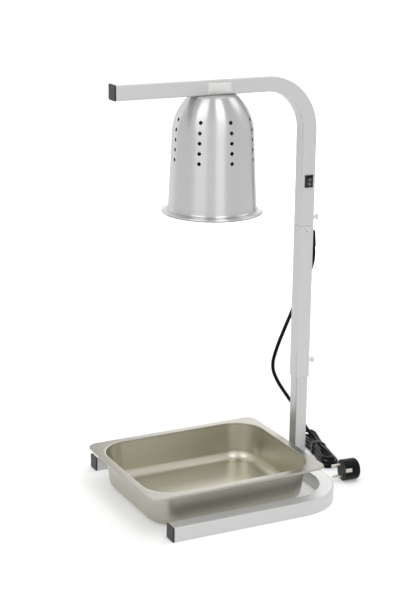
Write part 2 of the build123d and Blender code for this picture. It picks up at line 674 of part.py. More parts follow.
# Pan
open_l = PAN_L - 2 * PAN_FLANGE
open_w = PAN_W - 2 * PAN_FLANGE
draft = math.tan(math.radians(PAN_DRAFT))
skin = PAN_T / math.cos(math.radians(PAN_DRAFT))


def pan_body(grow, foot):
    """The drawn body between the rim and a floor height, grown outward by an amount."""
    inset = draft * (PAN_H - foot)
    upper = RectangleRounded(open_w + 2 * grow, open_l + 2 * grow, PAN_OPEN_R + grow)
    lower = RectangleRounded(
        open_w + 2 * (grow - inset), open_l + 2 * (grow - inset), PAN_OPEN_R + grow - inset
    )
    body = loft([Pos(0, 0, foot) * lower, Pos(0, 0, PAN_H) * upper], ruled=True)
    return fillet(body.faces().sort_by(Axis.Z)[0].edges(), PAN_FOOT_R + grow)


rim = extrude(Pos(0, 0, PAN_H) * RectangleRounded(PAN_W, PAN_L, PAN_RIM_R), amount=-PAN_LIP)
rim = fillet(rim.faces().sort_by(Axis.Z)[-1].edges(), PAN_EDGE_R)
under = RectangleRounded(PAN_W - 2 * PAN_T, PAN_L - 2 * PAN_T, PAN_RIM_R - PAN_T)
rim -= extrude(Pos(0, 0, PAN_H - PAN_T) * under, amount=-PAN_LIP)
pan = rim + pan_body(skin, 0) - pan_body(0, PAN_T)
mouth = pan.edges().group_by(Axis.Z)[-1].sort_by(lambda e: e.distance_to(Vertex(0, 0, PAN_H)))[:8]
pan = fillet(mouth, PAN_EDGE_R * 0.8)
save("gn_pan", Pos(PAN_X, PAN_Y, 0) * Rot(0, 0, PAN_TURN) * pan)

# Hank of the cord, in its own frame: runs along X joined by half-circle folds, spiralling out on
# one layer and in on the next, each run drawn in towards the waist
floor_z = CORD_D / 2 + CORD_FLOOR_GAP
layer_z = [floor_z + HANK_LAYER * k for k in reversed(range(HANK_LAYERS))]
yaw = math.radians(HANK_YAW)
hank_plane = Plane(origin=(HANK_X, HANK_Y, 0), x_dir=(math.cos(yaw), math.sin(yaw), 0), z_dir=UP)
near_y = -1.5 * HANK_STEP
far_inner_y = HANK_STEP
far_outer_y = 2 * HANK_STEP
strands = []


def s_bend(a, b):
    """Two arcs that carry a strand from one line along X to a parallel one."""
    middle = (a + b) / 2
    first = TangentArc(a, middle, tangent=unit((b.X - a.X, 0, 0)))
    return [first, TangentArc(middle, b, tangent=first % 1)]


def run(heading, y, z0, z1):
    """One whole run from shoulder to shoulder, through the waist."""
    waist_y = y - math.copysign(HANK_DRAW, y)
    waist_z = (z0 + z1) / 2 + HANK_LIFT
    a = Vector(-heading * HANK_HALF, y, z0)
    b = Vector(-heading * HANK_WAIST, waist_y, waist_z)
    c = Vector(heading * HANK_WAIST, waist_y, waist_z)
    d = Vector(heading * HANK_HALF, y, z1)
    strands.append((waist_y, waist_z))
    return s_bend(a, b) + [Line(b, c)] + s_bend(c, d)


def fold(heading, y_from, y_to, z):
    """A half circle round the hank's end."""
    x = heading * HANK_HALF
    radius = abs(y_from - y_to) / 2
    return [ThreePointArc((x, y_from, z), (x + heading * radius, (y_from + y_to) / 2, z), (x, y_to, z))]


hank_start = Vector(-HANK_WAIST, far_inner_y - HANK_DRAW, layer_z[0] + HANK_LIFT)
hank_end = Vector(HANK_HALF, far_outer_y, layer_z[-1])
past_waist = hank_start + Vector(2 * HANK_WAIST, 0, 0)
strands.append((hank_start.Y, hank_start.Z))
hank_edges = [Line(hank_start, past_waist)] + s_bend(past_waist, Vector(HANK_HALF, far_inner_y, layer_z[0]))
for k, z in enumerate(layer_z):
    y_from = far_outer_y if k % 2 else far_inner_y
    y_to = far_inner_y if k % 2 else far_outer_y
    hank_edges += fold(1, y_from, near_y, z)
    hank_edges += run(-1, near_y, z, z)
    hank_edges += fold(-1, near_y, y_to, z)
    hank_edges += run(1, y_to, z, layer_z[min(k + 1, HANK_LAYERS - 1)])
hank_route = hank_plane * Wire(hank_edges)


def tube_on(route):
    """The cord swept along a route, with its volume set against section times length."""
    section = Plane(origin=route @ 0, z_dir=route % 0) * Circle(CORD_D / 2)
    tube = sweep(section, path=route)
    ratio = tube.volume / (math.pi * CORD_D ** 2 / 4 * route.length)
    print(f"  length {route.length:.1f}, volume over section times length {ratio:.4f}")
    return tube


def least_self_gap(route):
    """The least clear distance of the tube to itself, more than a half turn apart along it."""
    count = int(route.length / 2)
    points = [route.position_at(i / count) for i in range(count + 1)]
    points = [(p.X, p.Y, p.Z) for p in points]
    apart = int(3.2 * CORD_D * count / route.length)
    least = 1e9
    for i in range(len(points)):
        for j in range(i + apart, len(points)):
            least = min(least, math.dist(points[i], points[j]))
    return least - CORD_D


print("hank")
save("cord_hank", tube_on(hank_route))
print(f"  least gap to itself {least_self_gap(hank_route):.2f}")

# Tie round the waist, a belt round the outermost strands
def belt(radius):
    """The convex outline round circles on all strands, across the waist."""
    circles = [Pos(y, z) * Circle(radius) for y, z in strands]
    return make_hull([circle.edge() for circle in circles])


tie_plane = Plane(origin=(0, 0, 0), x_dir=BACK, z_dir=(1, 0, 0))
tie_ring = belt(CORD_D / 2 + TIE_GAP + TIE_T) - belt(CORD_D / 2 + TIE_GAP)
save("cord_tie", hank_plane * extrude(tie_plane * tie_ring, amount=TIE_W / 2, both=True))


def cord_route(label, points):
    """A route through free points, each turn as wide as its shorter run allows."""
    radii = []
    for a, b, c in zip(points, points[1:], points[2:]):
        turn = (b - a).get_angle(c - b)
        shorter = min((b - a).length, (c - b).length)
        radii.append(0.45 * shorter / math.tan(math.radians(turn) / 2))
    print(label, "radii", [round(r) for r in radii])
    return FilletPolyline(*points, radius=radii)


# Plug frame: Z out along the pins, X along the cord
turn = math.radians(PLUG_YAW)
roll = math.radians(PLUG_ROLL)
pin_dir = (-math.sin(turn), -math.cos(turn), 0)
tail_dir = (-math.cos(turn) * math.cos(roll), math.sin(turn) * math.cos(roll), -math.sin(roll))
plug = Plane(origin=(PLUG_X, PLUG_Y, PLUG_D / 2 + PLUG_FLOOR_GAP), x_dir=tail_dir, z_dir=pin_dir)
plug_tip = plug.from_local_coords(Vector(PLUG_TAIL, 0, -PLUG_TAIL_BACK))

# Free cord from the boot down to the hank
drop_points = [
    boot_tip,
    boot_tip + CORD_OUT * boot_axis,
    *[Vector(*point) for point in BOW],
    *[hank_plane.from_local_coords(Vector(*point)) for point in LANDING],
    hank_plane.from_local_coords(hank_start - Vector(CORD_LAND, 0, 0)),
    hank_plane.from_local_coords(hank_start),
]
save("cord_drop", tube_on(cord_route("drop", drop_points)))

# Short free cord from the hank up to the plug
tail_points = [
    hank_plane.from_local_coords(hank_end),
    hank_plane.from_local_coords(hank_end + Vector(CORD_D, 0, 0)),
    plug_tip + CORD_TAIL_END * Vector(*tail_dir),
    plug_tip,
]
save("cord_tail", tube_on(cord_route("tail", tail_points)))

# Plug: body with its tapered tail, pins and earth contacts
body = Pos(0, 0, -PLUG_DEPTH / 2) * Cylinder(PLUG_D / 2, PLUG_DEPTH, align=BASE_MIN)
body = fillet(body.faces().sort_by(Axis.Z)[0].edges(), 6)
body = fillet(body.faces().sort_by(Axis.Z)[-1].edges(), 1)
tail_root = PLUG_D / 4
tail = Plane(origin=(tail_root, 0, -PLUG_TAIL_BACK), z_dir=(1, 0, 0)) * Cone(
    PLUG_TAIL_ROOT_R, PLUG_TAIL_TIP_R, PLUG_TAIL - tail_root, align=BASE_MIN
)
body += tail
pins = []
clips = []
face = PLUG_DEPTH / 2
clip_top = PLUG_D / 2 - 1
for side in (-1, 1):
    y = side * PIN_HALF_PITCH
    body -= rod(PIN_D + 2 * PIN_GAP, (0, y, face - PIN_IN), UP, PIN_IN + 1)
    pin = rod(PIN_D, (0, y, face - PIN_IN), UP, PIN_IN + PIN_OUT)
    pin = fillet(pin.faces().sort_by(Axis.Z)[-1].edges(), 1.5)
    pins.append((plug * pin).solid())
    inner = PLUG_D / 2 - CLIP_RECESS
    recess = Pos(side * (inner + 5), 0, face) * Box(10, CLIP_W + 2 * CLIP_GAP, 2 * (CLIP_L + CLIP_GAP))
    body -= recess
    clip = Pos(side * inner, 0, face) * Box(
        CLIP_T, CLIP_W, CLIP_L, align=(Align.MIN if side > 0 else Align.MAX, Align.CENTER, Align.MAX)
    )
    clips.append((plug * clip).solid())
save("plug_body", plug * body)
save("plug_pins", Compound(pins))
save("plug_earth_clips", Compound(clips))
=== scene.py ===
# %% [markdown]
# # Food heat lamp on its stand, dressed in Blender
# A food heat lamp keeps plates and pans warm: a lamp hangs in a metal shade from an arm of
# square tube, and the arm stands on a post that slides up and down. The CAD model brings every
# rigid piece with its place and its joints. This lesson gives the pieces their surfaces and
# finishes, in metres, in the CAD model's own frame.

# %% Load the frame
import bmesh
import bpy
import math
import numpy as np
from mathutils import Matrix, Vector


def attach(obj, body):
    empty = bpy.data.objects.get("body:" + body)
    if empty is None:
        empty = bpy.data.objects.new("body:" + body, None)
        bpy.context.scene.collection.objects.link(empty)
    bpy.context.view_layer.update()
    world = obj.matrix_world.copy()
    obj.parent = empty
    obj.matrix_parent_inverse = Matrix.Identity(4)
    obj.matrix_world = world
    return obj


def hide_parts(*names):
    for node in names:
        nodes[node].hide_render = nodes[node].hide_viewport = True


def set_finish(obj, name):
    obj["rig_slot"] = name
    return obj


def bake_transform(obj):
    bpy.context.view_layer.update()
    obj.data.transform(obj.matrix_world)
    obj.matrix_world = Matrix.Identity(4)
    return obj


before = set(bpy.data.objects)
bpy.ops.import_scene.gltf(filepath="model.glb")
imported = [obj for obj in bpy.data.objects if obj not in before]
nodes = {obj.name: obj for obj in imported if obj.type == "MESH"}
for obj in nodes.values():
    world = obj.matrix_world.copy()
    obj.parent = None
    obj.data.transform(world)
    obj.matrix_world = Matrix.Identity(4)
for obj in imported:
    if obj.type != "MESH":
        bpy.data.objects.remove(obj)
scene = bpy.context.scene
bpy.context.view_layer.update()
MM = 0.001

# %% [markdown]
# ## Camera
# The photograph was taken with a long lens from the right of the front, a little above the
# shade. The place, the two angles, the small roll and the focal length were worked out from
# the tube edges, which are straight and at right angles. The longer image side of 611 pixels on
# a 36 mm sensor turns the focal length from pixels to millimetres.

# %% Camera
CAMERA_PLACE = Vector((2.13756, -1.24265, 1.03813))
AZIMUTH, PITCH, ROLL = (math.radians(angle) for angle in (63.68, 16.59, 0.63))
FOCAL_PIXELS, SENSOR_MM, IMAGE_PIXELS = 1507.68, 36, 611
VIEW_REACH = 100
share = math.cos(PITCH)
forward = -Vector((math.sin(AZIMUTH) * share, -math.cos(AZIMUTH) * share, math.sin(PITCH)))
level = Vector((math.cos(AZIMUTH), math.sin(AZIMUTH), 0))
upright = level.cross(forward)
image_right = math.cos(ROLL) * level + math.sin(ROLL) * upright
image_up = math.cos(ROLL) * upright - math.sin(ROLL) * level
lens = bpy.data.cameras.new("photo_camera")
lens.lens = FOCAL_PIXELS * SENSOR_MM / IMAGE_PIXELS
lens.clip_end = VIEW_REACH
camera = bpy.data.objects.new("photo_camera", lens)
looking = Matrix((image_right, image_up, -forward)).transposed().to_4x4()
camera.matrix_world = Matrix.Translation(CAMERA_PLACE) @ looking
scene.collection.objects.link(camera)
scene.camera = camera
print(f"camera lens {lens.lens:.1f} mm")

# %% [markdown]
# ## From arrays to a mesh
# Every new piece is a grid of points that numpy works out in one go. A grid of rows and columns
# has a quad between each four neighbours, so one helper can join any grid. Where a surface
# closes on itself, its last column repeats the first, and the doubles are merged afterwards: the
# UV map, which keeps distances across and along the surface in metres, then has a clean seam.

# %% Grids
TINY = 1e-6


def grid_faces(rows, columns):
    """Quads between neighbouring points of a grid that is stored row after row."""
    row, column = np.meshgrid(np.arange(rows - 1), np.arange(columns - 1), indexing="ij")
    first = row * columns + column
    quads = np.stack([first, first + 1, first + columns + 1, first + columns], axis=-1)
    return quads.reshape(-1, 4)


def piece(name, points, faces, uv):
    """A smooth mesh object of points and quads, with doubles merged; uv has a pair per point."""
    mesh = bpy.data.meshes.new(name)
    mesh.from_pydata(np.asarray(points, float).reshape(-1, 3), [], faces)
    layer = mesh.uv_layers.new(name="surface")
    layer.data.foreach_set("uv", np.asarray(uv, np.float32).reshape(-1, 2)[faces].ravel())
    shape = bmesh.new()
    shape.from_mesh(mesh)
    bmesh.ops.remove_doubles(shape, verts=shape.verts, dist=TINY)
    shape.to_mesh(mesh)
    shape.free()
    mesh.shade_smooth()
    made = bpy.data.objects.new(name, mesh)
    scene.collection.objects.link(made)
    return made


print("a grid of 3 by 4 points has", len(grid_faces(3, 4)), "quads")

# %% [markdown]
# Sheet metal and tubes have walls. Solidify gives a surface its thickness, on the inside, so that
# the outside keeps its size. Angles, directions and lengths are needed often and get helpers too.

# %% Arrays, lengths and walls
SHARP = math.radians(35)


def read(rows, attribute):
    """An attribute of all vertices or all faces, as rows of three numbers."""
    values = np.empty(3 * len(rows))
    rows.foreach_get(attribute, values)
    return values.reshape(-1, 3)


def unit(vectors):
    """Each row divided by its own length."""
    return vectors / np.linalg.norm(vectors, axis=-1, keepdims=True)


def together(*parts):
    """Numbers and arrays, spread over one grid and joined as the coordinates of its points."""
    return np.stack(np.broadcast_arrays(*parts), axis=-1)


def once_round(steps):
    """Angles once round in equal steps; the last repeats the first."""
    return 2 * np.pi * np.arange(steps + 1) / steps


def spoke(angle):
    """Unit directions at the given angles: (cos a, sin a)."""
    return np.stack([np.cos(angle), np.sin(angle)], axis=-1)


def path_length(points):
    """Distance along a row of points, starting at nought."""
    steps = np.linalg.norm(np.diff(points, axis=0), axis=1)
    return np.concatenate([[0], np.cumsum(steps)])


def give_wall(made, thickness):
    """Thicken a sheet inwards, keep the result as its mesh and mark its sharp edges."""
    wall = made.modifiers.new("wall", "SOLIDIFY")
    wall.thickness = thickness
    wall.offset = -1
    thickened = made.evaluated_get(bpy.context.evaluated_depsgraph_get())
    solid = bpy.data.meshes.new_from_object(thickened)
    made.modifiers.clear()
    made.data = solid
    solid.set_sharp_from_angle(angle=SHARP)
    return made


print("edges count as sharp from", round(math.degrees(SHARP)), "degrees")

# %% [markdown]
# ## Mains cord
# The lead leaves a boot behind the post, hangs in a loose bow beside it and ends in a tied hank
# behind the crossbar, with the plug beside it. A lead is a fixed length of something flexible,
# so its line is one smooth NURBS spline whose control points are the corners of the route. The
# hank's folds get the corners of a twelve-sided polygon round each half circle: the spline
# touches the polygon's sides, and so it runs on the circle.

# %% Control points of the hank
HANK_MIDDLE, HANK_YAW = np.array([-53.5, 73.4, 0]) * MM, math.radians(-10.5)
HANK_HALF, SHOULDER = 58.0 * MM, 9.0 * MM
WAIST_HALF, DRAWN_IN, LIFTED = (size * MM for size in (14.0, 4.0, 1.8))
NEAR, FAR_INNER, FAR_OUTER = (size * MM for size in (-10.8, 7.2, 14.4))
LAYERS = np.array([18.5, 10.9, 3.3]) * MM
POLYGON_STEP = 360 / 12


def placed(points):
    """Points of the hank's own frame in the lamp's frame:
    middle + (x cos a - y sin a, x sin a + y cos a, z)."""
    cosine, sine = math.cos(HANK_YAW), math.sin(HANK_YAW)
    return HANK_MIDDLE + points @ np.array([(cosine, sine, 0), (-sine, cosine, 0), (0, 0, 1)])


def fold(heading, from_side, to_side, height):
    """Corners of the polygon round a half circle at the hank's end, from one side to the other."""
    radius = (from_side - to_side) / 2
    turn = np.radians(np.arange(POLYGON_STEP / 2, 180, POLYGON_STEP))
    reach = abs(radius) / math.cos(math.radians(POLYGON_STEP / 2))
    x = heading * (HANK_HALF + reach * np.sin(turn))
    y = (from_side + to_side) / 2 + np.sign(radius) * reach * np.cos(turn)
    return np.stack([x, y, np.full(len(turn), height)], axis=1)


def run(heading, side, first_height, last_height):
    """Four corners of a strand through the tied waist: out, drawn in and lifted, and out again."""
    x = heading * np.array([SHOULDER - HANK_HALF, -WAIST_HALF, WAIST_HALF, HANK_HALF - SHOULDER])
    y = side - np.sign(side) * np.array([0, DRAWN_IN, DRAWN_IN, 0])
    waist = (first_height + last_height) / 2 + LIFTED
    return np.stack([x, y, np.array([first_height, waist, waist, last_height])], axis=1)


hank = [run(1, FAR_INNER, LAYERS[0], LAYERS[0])[2:]]
for k, height in enumerate(LAYERS):
    below = LAYERS[min(k + 1, len(LAYERS) - 1)]
    first, last = (FAR_OUTER, FAR_INNER) if k % 2 else (FAR_INNER, FAR_OUTER)
    hank += [fold(1, first, NEAR, height), run(-1, NEAR, height, height)]
    hank += [fold(-1, NEAR, last, height), run(1, last, height, below)]
hank = placed(np.concatenate(hank))
print("hank control points:", len(hank))

# %% Control points of the free ends, and the spline
drop = np.array([
    (0, 20.1, 408), (0, 22.04, 390.1), (-10, 22.5, 365), (-27, 21, 334), (-50, 19, 297.4),
    (-77, 16, 249.4), (-100, 10, 198.4), (-110, 6, 161.4), (-112, 18.5, 131), (-107.6, 40.5, 97),
    (-108.27, 63.21, 66), (-96.25, 73.19, 36), (-79.77, 79.8, 24), (-69.14, 79.55, 20.3),
]) * MM
tail = np.array([
    (6.15, 76.99, 3.3), (12.54, 75.8, 3.3), (20.64, 75.4, 4.52), (31.16, 74.66, 7.64),
]) * MM
route = np.concatenate([drop, hank, tail])
curve = bpy.data.curves.new("cord_route", "CURVE")
curve.dimensions = "3D"
spline = curve.splines.new("NURBS")
spline.points.add(len(route) - 1)
spline.points.foreach_set("co", np.column_stack([route, np.ones(len(route))]).ravel())
spline.order_u = 3
spline.use_endpoint_u = True
spline.resolution_u = 8
guide = bpy.data.objects.new("cord_route", curve)
scene.collection.objects.link(guide)
line = read(bpy.data.meshes.new_from_object(guide).vertices, "co")
bpy.data.objects.remove(guide)
print(f"cord: {len(line)} points, {path_length(line)[-1]:.3f} m")

# %% [markdown]
# A round sheath is a circle carried along that line. Each circle needs two directions across the
# line. Taking them from one fixed direction fails where the line runs along it, so the reference
# turns from upright, near the table, to straight back, up at the boot.

# %% Mains cord
CORD_D, CORD_SIDES = 6.5 * MM, 16
TURN_FROM, TURN_OVER = 30 * MM, 100 * MM


def round_tube(name, path, radius, sides):
    """Circle carried along a path: point = path + radius (cos a * across + sin a * over), with
    both ends drawn shut."""
    along = unit(np.gradient(path, axis=0))
    high = np.clip((path[:, 2:] - TURN_FROM) / TURN_OVER, 0, 1)
    reference = (1 - high) * np.array([0, 0, 1]) + high * np.array([0, 1, 0])
    across = unit(np.cross(along, reference))
    over = np.cross(along, across)
    angle = once_round(sides)
    spokes = np.cos(angle)[:, None] * across[:, None] + np.sin(angle)[:, None] * over[:, None]
    reach = radius * np.concatenate([[0], np.ones(len(path)), [0]])
    picked = np.concatenate([[0], np.arange(len(path)), [len(path) - 1]])
    rings = path[picked][:, None] + reach[:, None, None] * spokes[picked]
    uv = together(radius * angle, path_length(path)[picked][:, None])
    return piece(name, rings, grid_faces(len(picked), sides + 1), uv)


mains_cord = round_tube("mains_cord", line, CORD_D / 2, CORD_SIDES)
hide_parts("cord_drop", "cord_hank", "cord_tail")
print("mains cord:", len(mains_cord.data.polygons), "faces")

# %% [markdown]
# The hank is held by a strap of hook-and-loop tape round its waist. Seen along the cord, the
# tape is a tight belt round the outermost strands: in each direction the belt touches the
# strand that lies furthest that way. That is the support of five points, widened by the cord's
# radius.

# %% Strap round the hank
STRAP_W, STRAP_T, STRAP_GAP = (size * MM for size in (10.0, 1.2, 0.3))
BELT_STEPS, PROFILE_STEPS = 96, 24
strands = np.array([(-6.8, 5.1), (10.4, 5.1), (10.4, 16.5), (3.2, 20.3), (-6.8, 20.3)]) * MM


def belt(name, strands, inside, width, thickness):
    """Flat profile carried round the strands: point = furthest strand + (inside + profile height)
    * direction. The profile is a circle's cosine and sine, raised to the powers 1/4 and 1/2."""
    direction = spoke(once_round(BELT_STEPS))
    furthest = strands[np.argmax(direction @ strands.T, axis=1)]
    turn = once_round(PROFILE_STEPS)
    flat = np.sign(np.cos(turn)) * np.abs(np.cos(turn)) ** 0.25 * width / 2
    rise = thickness / 2 * (1 + np.sign(np.sin(turn)) * np.abs(np.sin(turn)) ** 0.5)
    sides = furthest[:, None] + (inside + rise[:, None]) * direction[:, None]
    points = together(flat, sides[..., 0], sides[..., 1])
    uv = together(flat, path_length(sides[:, 0])[:, None])
    return piece(name, placed(points), grid_faces(*points.shape[:2]), uv)


cord_strap = belt("cord_strap", strands, CORD_D / 2 + STRAP_GAP, STRAP_W, STRAP_T)
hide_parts("cord_tie")
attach(cord_strap, "base")
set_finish(cord_strap, "tie_fabric")
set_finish(mains_cord, "black_rubber")
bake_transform(mains_cord)
print("strap:", len(cord_strap.data.polygons), "faces")

# %% [markdown]
# ## Square tubes
# The stand is extruded square tube of 25 mm with a slimmer tube inside it. A tube is its section
# carried along a path, so one function makes all four: the base, the two posts and the bent arm.
# The section has close points beside each rounded corner, which keeps the smooth shading of the
# flat faces flat.

# %% Section of a tube
TUBE, CORNER = 25 * MM, 2 * MM
SLIM, SLIM_CORNER = 21.6 * MM, 1.5 * MM
BESIDE_CORNER, SLOT_HALF = 1.2 * MM, 6.8 * MM


def square_section(width, corner):
    """A square with rounded corners, once round: corner's middle + radius * direction, with two
    more points on the flat at each side of every corner, the second at the switch slot's edge."""
    quarter = np.radians([[0], [90], [180], [270]])
    turn = np.radians([0, 0, 0, 18, 36, 54, 72, 90, 90, 90]) + quarter
    onward = np.stack([-np.sin(turn), np.cos(turn)], axis=-1)
    diagonal = spoke(np.radians([[45], [135], [225], [315]]))
    middle = math.sqrt(2) * (width / 2 - corner) * diagonal
    slot = width / 2 - corner - SLOT_HALF
    beside = np.array([-slot, -BESIDE_CORNER, 0, 0, 0, 0, 0, 0, BESIDE_CORNER, slot])[:, None]
    points = (middle + corner * spoke(turn) + beside * onward).reshape(-1, 2)
    return np.concatenate([points, points[:1]])


print(f"round a tube: {path_length(square_section(TUBE, CORNER))[-1] / MM:.1f} mm")

# %% [markdown]
# A sawn end is deburred, so its outer edge is taken off a little. A bevel would round the inner
# edge too, which has to stay close round the tube that slides in it. So the wall is made first,
# and then only the outer points of both ends are drawn in along their normals. Solidify keeps a
# sheet's own points in front of those it adds, which tells the two apart.

# %% Tube along a path
WALL, DEBURR = 1.5 * MM, 0.8 * MM


def square_tube(name, path, binormal, width, corner, slot=None):
    """Section carried along a flat path: point = path + x * side + y * binormal, with a wall.
    Faces whose middle lies inside the slot's box are left out."""
    along_first, along_last = unit(path[1] - path[0]), unit(path[-1] - path[-2])
    path = np.concatenate([path[:1], path[:1] + DEBURR * along_first, path[1:-1],
                           path[-1:] - DEBURR * along_last, path[-1:]])
    binormal = np.array(binormal, float)
    section = square_section(width, corner)
    side = np.cross(binormal, unit(np.gradient(path, axis=0)))
    points = path[:, None] + section[:, :1] * side[:, None] + section[:, 1:] * binormal
    uv = together(path_length(section), path_length(path)[:, None])
    faces = grid_faces(len(path), len(section))
    if slot is not None:
        middle = points.reshape(-1, 3)[faces].mean(axis=1)
        faces = faces[~((middle > slot[0]) & (middle < slot[1])).all(axis=1)]
    made = piece(name, points, faces, uv)
    outward = read(made.data.vertices, "normal")
    give_wall(made, WALL)
    place = read(made.data.vertices, "co")
    outer = place[:len(outward)]
    sawn = np.zeros(len(outer), bool)
    for end, along in ((path[0], along_first), (path[-1], along_last)):
        sawn |= np.abs((outer - end) @ along) < TINY
    outer[sawn] -= DEBURR * outward[sawn]
    made.data.vertices.foreach_set("co", place.ravel())
    made.data.set_sharp_from_angle(angle=SHARP)
    return made


print(f"wall {WALL / MM} mm, deburred by {DEBURR / MM} mm")

# %% [markdown]
# The four paths run along the tubes' middles. The base lies on the table and is bent to a U, the
# slimmer post stands in its crossbar, the wider post slides on that, and the arm goes up, bends
# forward over the pan and has a slot for the switch in its right side. A bend is a quarter
# circle, as a tube bender leaves it.

# %% The four tubes
BEND, BEND_POINTS = 80 * MM, 28
BASE_SIDE, BASE_FRONT, BASE_Z = 0.16, -0.318, 0.0125
LOWER_HEIGHTS, MIDDLE_HEIGHTS = (0.0015, 0.02, 0.24), (0.179, 0.3, 0.447)
ARM_FOOT, ARM_FRONT, ARM_Z = 0.447, -0.3456, 0.6889
SWITCH_FOOT, SWITCH_TOP, SLOT_DEEP = 0.5139, 0.5331, 0.5 * MM
ACROSS, UPRIGHT = (1, 0, 0), (0, 0, 1)


def straight_up(*heights):
    """Path up the posts' middle through the given heights."""
    return np.array([(0, 0, height) for height in heights])


def arc(centre, first, last, along_first, along_last):
    """Quarter bend: centre + radius (cos a * first direction + sin a * last direction)."""
    angle = np.radians(np.linspace(first, last, BEND_POINTS))[:, None]
    way = np.cos(angle) * np.array(along_first) + np.sin(angle) * np.array(along_last)
    return np.array(centre) + BEND * way


base_path = np.concatenate([
    [(-BASE_SIDE, BASE_FRONT, BASE_Z)],
    arc((-BASE_SIDE + BEND, -BEND, BASE_Z), 0, 90, (-1, 0, 0), (0, 1, 0)),
    arc((BASE_SIDE - BEND, -BEND, BASE_Z), 90, 0, (1, 0, 0), (0, 1, 0)),
    [(BASE_SIDE, BASE_FRONT, BASE_Z)],
])
arm_path = np.concatenate([
    straight_up(ARM_FOOT, SWITCH_FOOT, SWITCH_TOP),
    arc((0, -BEND, ARM_Z - BEND), 0, 90, (0, 1, 0), (0, 0, 1)),
    [(0, ARM_FRONT, ARM_Z)],
])
switch_slot = np.array([(TUBE / 2 - SLOT_DEEP, -SLOT_HALF, SWITCH_FOOT),
                        (TUBE / 2 + SLOT_DEEP, SLOT_HALF, SWITCH_TOP)])
lower_path, middle_path = straight_up(*LOWER_HEIGHTS), straight_up(*MIDDLE_HEIGHTS)
tubes = {}
for name, node, body, *shape in (
    ("base_tube", "base_frame", "base", base_path, UPRIGHT, TUBE, CORNER),
    ("lower_tube", "lower_post", "base", lower_path, ACROSS, SLIM, SLIM_CORNER),
    ("middle_tube", "middle_post", "mast", middle_path, ACROSS, TUBE, CORNER),
    ("arm", "arm_tube", "arm", arm_path, ACROSS, TUBE, CORNER, switch_slot),
):
    tubes[name] = square_tube(name, *shape)
    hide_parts(node)
    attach(tubes[name], body)
    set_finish(tubes[name], "satin_aluminium")
    print(name, len(tubes[name].data.polygons), "faces")

# %% [markdown]
# ## Spun shade
# The shade is one disc of aluminium, spun over a former: flat on top, a round shoulder, a nearly
# straight wall, and a flange with a rolled edge. Its section is a line of arcs, turned about the
# lamp's axis. The vents need holes in the grid, so the belt that holds them is made of tiles:
# plain tiles are small grids, and a vent tile is rings that go from a circle out to the square.

# %% Section of the shade
LAMP_AXIS = np.array([0, -0.1725, 0])
BORE_R, FLAT_R, TOP = 5.05, 34.6, 676.4
SHOULDER_R, SHOULDER_CENTRE = 84 * MM, np.array([-18.09, 612.64]) * MM
LEAN, LEAN_ANGLE = 0.052, math.radians(2.977)
LEAN_R, LEAN_Z = 72.4 * MM, 490 * MM
BELT_TOP, BELT_FOOT = 648 * MM, 568 * MM
WALL_FOOT, WALL_ROWS = 497.5 * MM, 16
FLARE, FLARE_R = np.array([76.15, 495.63]) * MM, 4 * MM
BEAD, BEAD_R = np.array([81.0, 488.0]) * MM, 2 * MM


def polar(centre, radius, first, last, count):
    """Arc of a section: centre + radius (cos a, sin a), angles in degrees."""
    return np.asarray(centre) + radius * spoke(np.radians(np.linspace(first, last, count)))


def wall_radius(z):
    """Radius of the shade at a height: the shoulder's circle above, the leaning wall below."""
    height = np.clip((z - SHOULDER_CENTRE[1]) / SHOULDER_R, -1, 1)
    shoulder = SHOULDER_CENTRE[0] + SHOULDER_R * np.sqrt(1 - height ** 2)
    return np.where(height > math.sin(LEAN_ANGLE), shoulder, LEAN_R - LEAN * (z - LEAN_Z))


disc = np.linspace((BORE_R, TOP), (FLAT_R, TOP), 8) * MM
edge = np.array([(35.9, 676.25), (36.9, 675.8), (37.9, 675.1)]) * MM
shoulder = polar(SHOULDER_CENTRE, SHOULDER_R, 47.6, 24.9, 14)[:-1]
upper_section = np.concatenate([disc, edge, shoulder, [(wall_radius(BELT_TOP), BELT_TOP)]])
wall_z = np.linspace(BELT_FOOT, WALL_FOOT, WALL_ROWS)
wall = np.stack([wall_radius(wall_z), wall_z], axis=1)
flare, roll = polar(FLARE, FLARE_R, 183, 250, 9), polar(BEAD, BEAD_R, 70, -150, 16)
lower_section = np.concatenate([wall, flare, roll])
belt_start = path_length(upper_section)[-1]
wall_start = belt_start + BELT_TOP - BELT_FOOT
print("shade section:", len(upper_section) + len(lower_section), "points")

# %% Turning a section
TILES, CUTS = 32, 6
TILE = 2 * np.pi / TILES
MEAN_R = 66 * MM


def turned(angle, radius, height, length, faces):
    """Surface of revolution about the lamp's axis: (radius cos a, radius sin a, height), with its
    UV map in metres at the mean radius."""
    around = together(radius * np.cos(angle), radius * np.sin(angle), height)
    uv = together(angle * MEAN_R, length)
    return LAMP_AXIS + around.reshape(-1, 3), faces[:, ::-1], uv.reshape(-1, 2)


def turned_section(section, start):
    """A section turned once round, in as many columns as the tiles have cuts."""
    angle = TILE * (np.arange(TILES * CUTS + 1) / CUTS - 0.5)
    length = start + path_length(section)[:, None]
    faces = grid_faces(len(section), len(angle))
    return turned(angle, section[:, :1], section[:, 1:], length, faces)


print(f"a tile is {TILE * MEAN_R / MM:.1f} mm wide")

# %% Tiles with and without a vent
VENT_R, VENT_STEP, VENT_ROWS, TILES_PER_VENT = 3.1 * MM, 16 * MM, 5, 4
SPOKES, RING_SHARES = 24, np.array([0, 0.12, 0.45, 1])


def tile_points(column, row, across, along):
    """Points of many equal tiles: the tile's middle plus shares of its width and height."""
    angle = TILE * (column[:, None] + across)
    height = BELT_TOP - VENT_STEP * (row[:, None] + 0.5 - along)
    return angle, wall_radius(height), height, belt_start + (BELT_TOP - height)


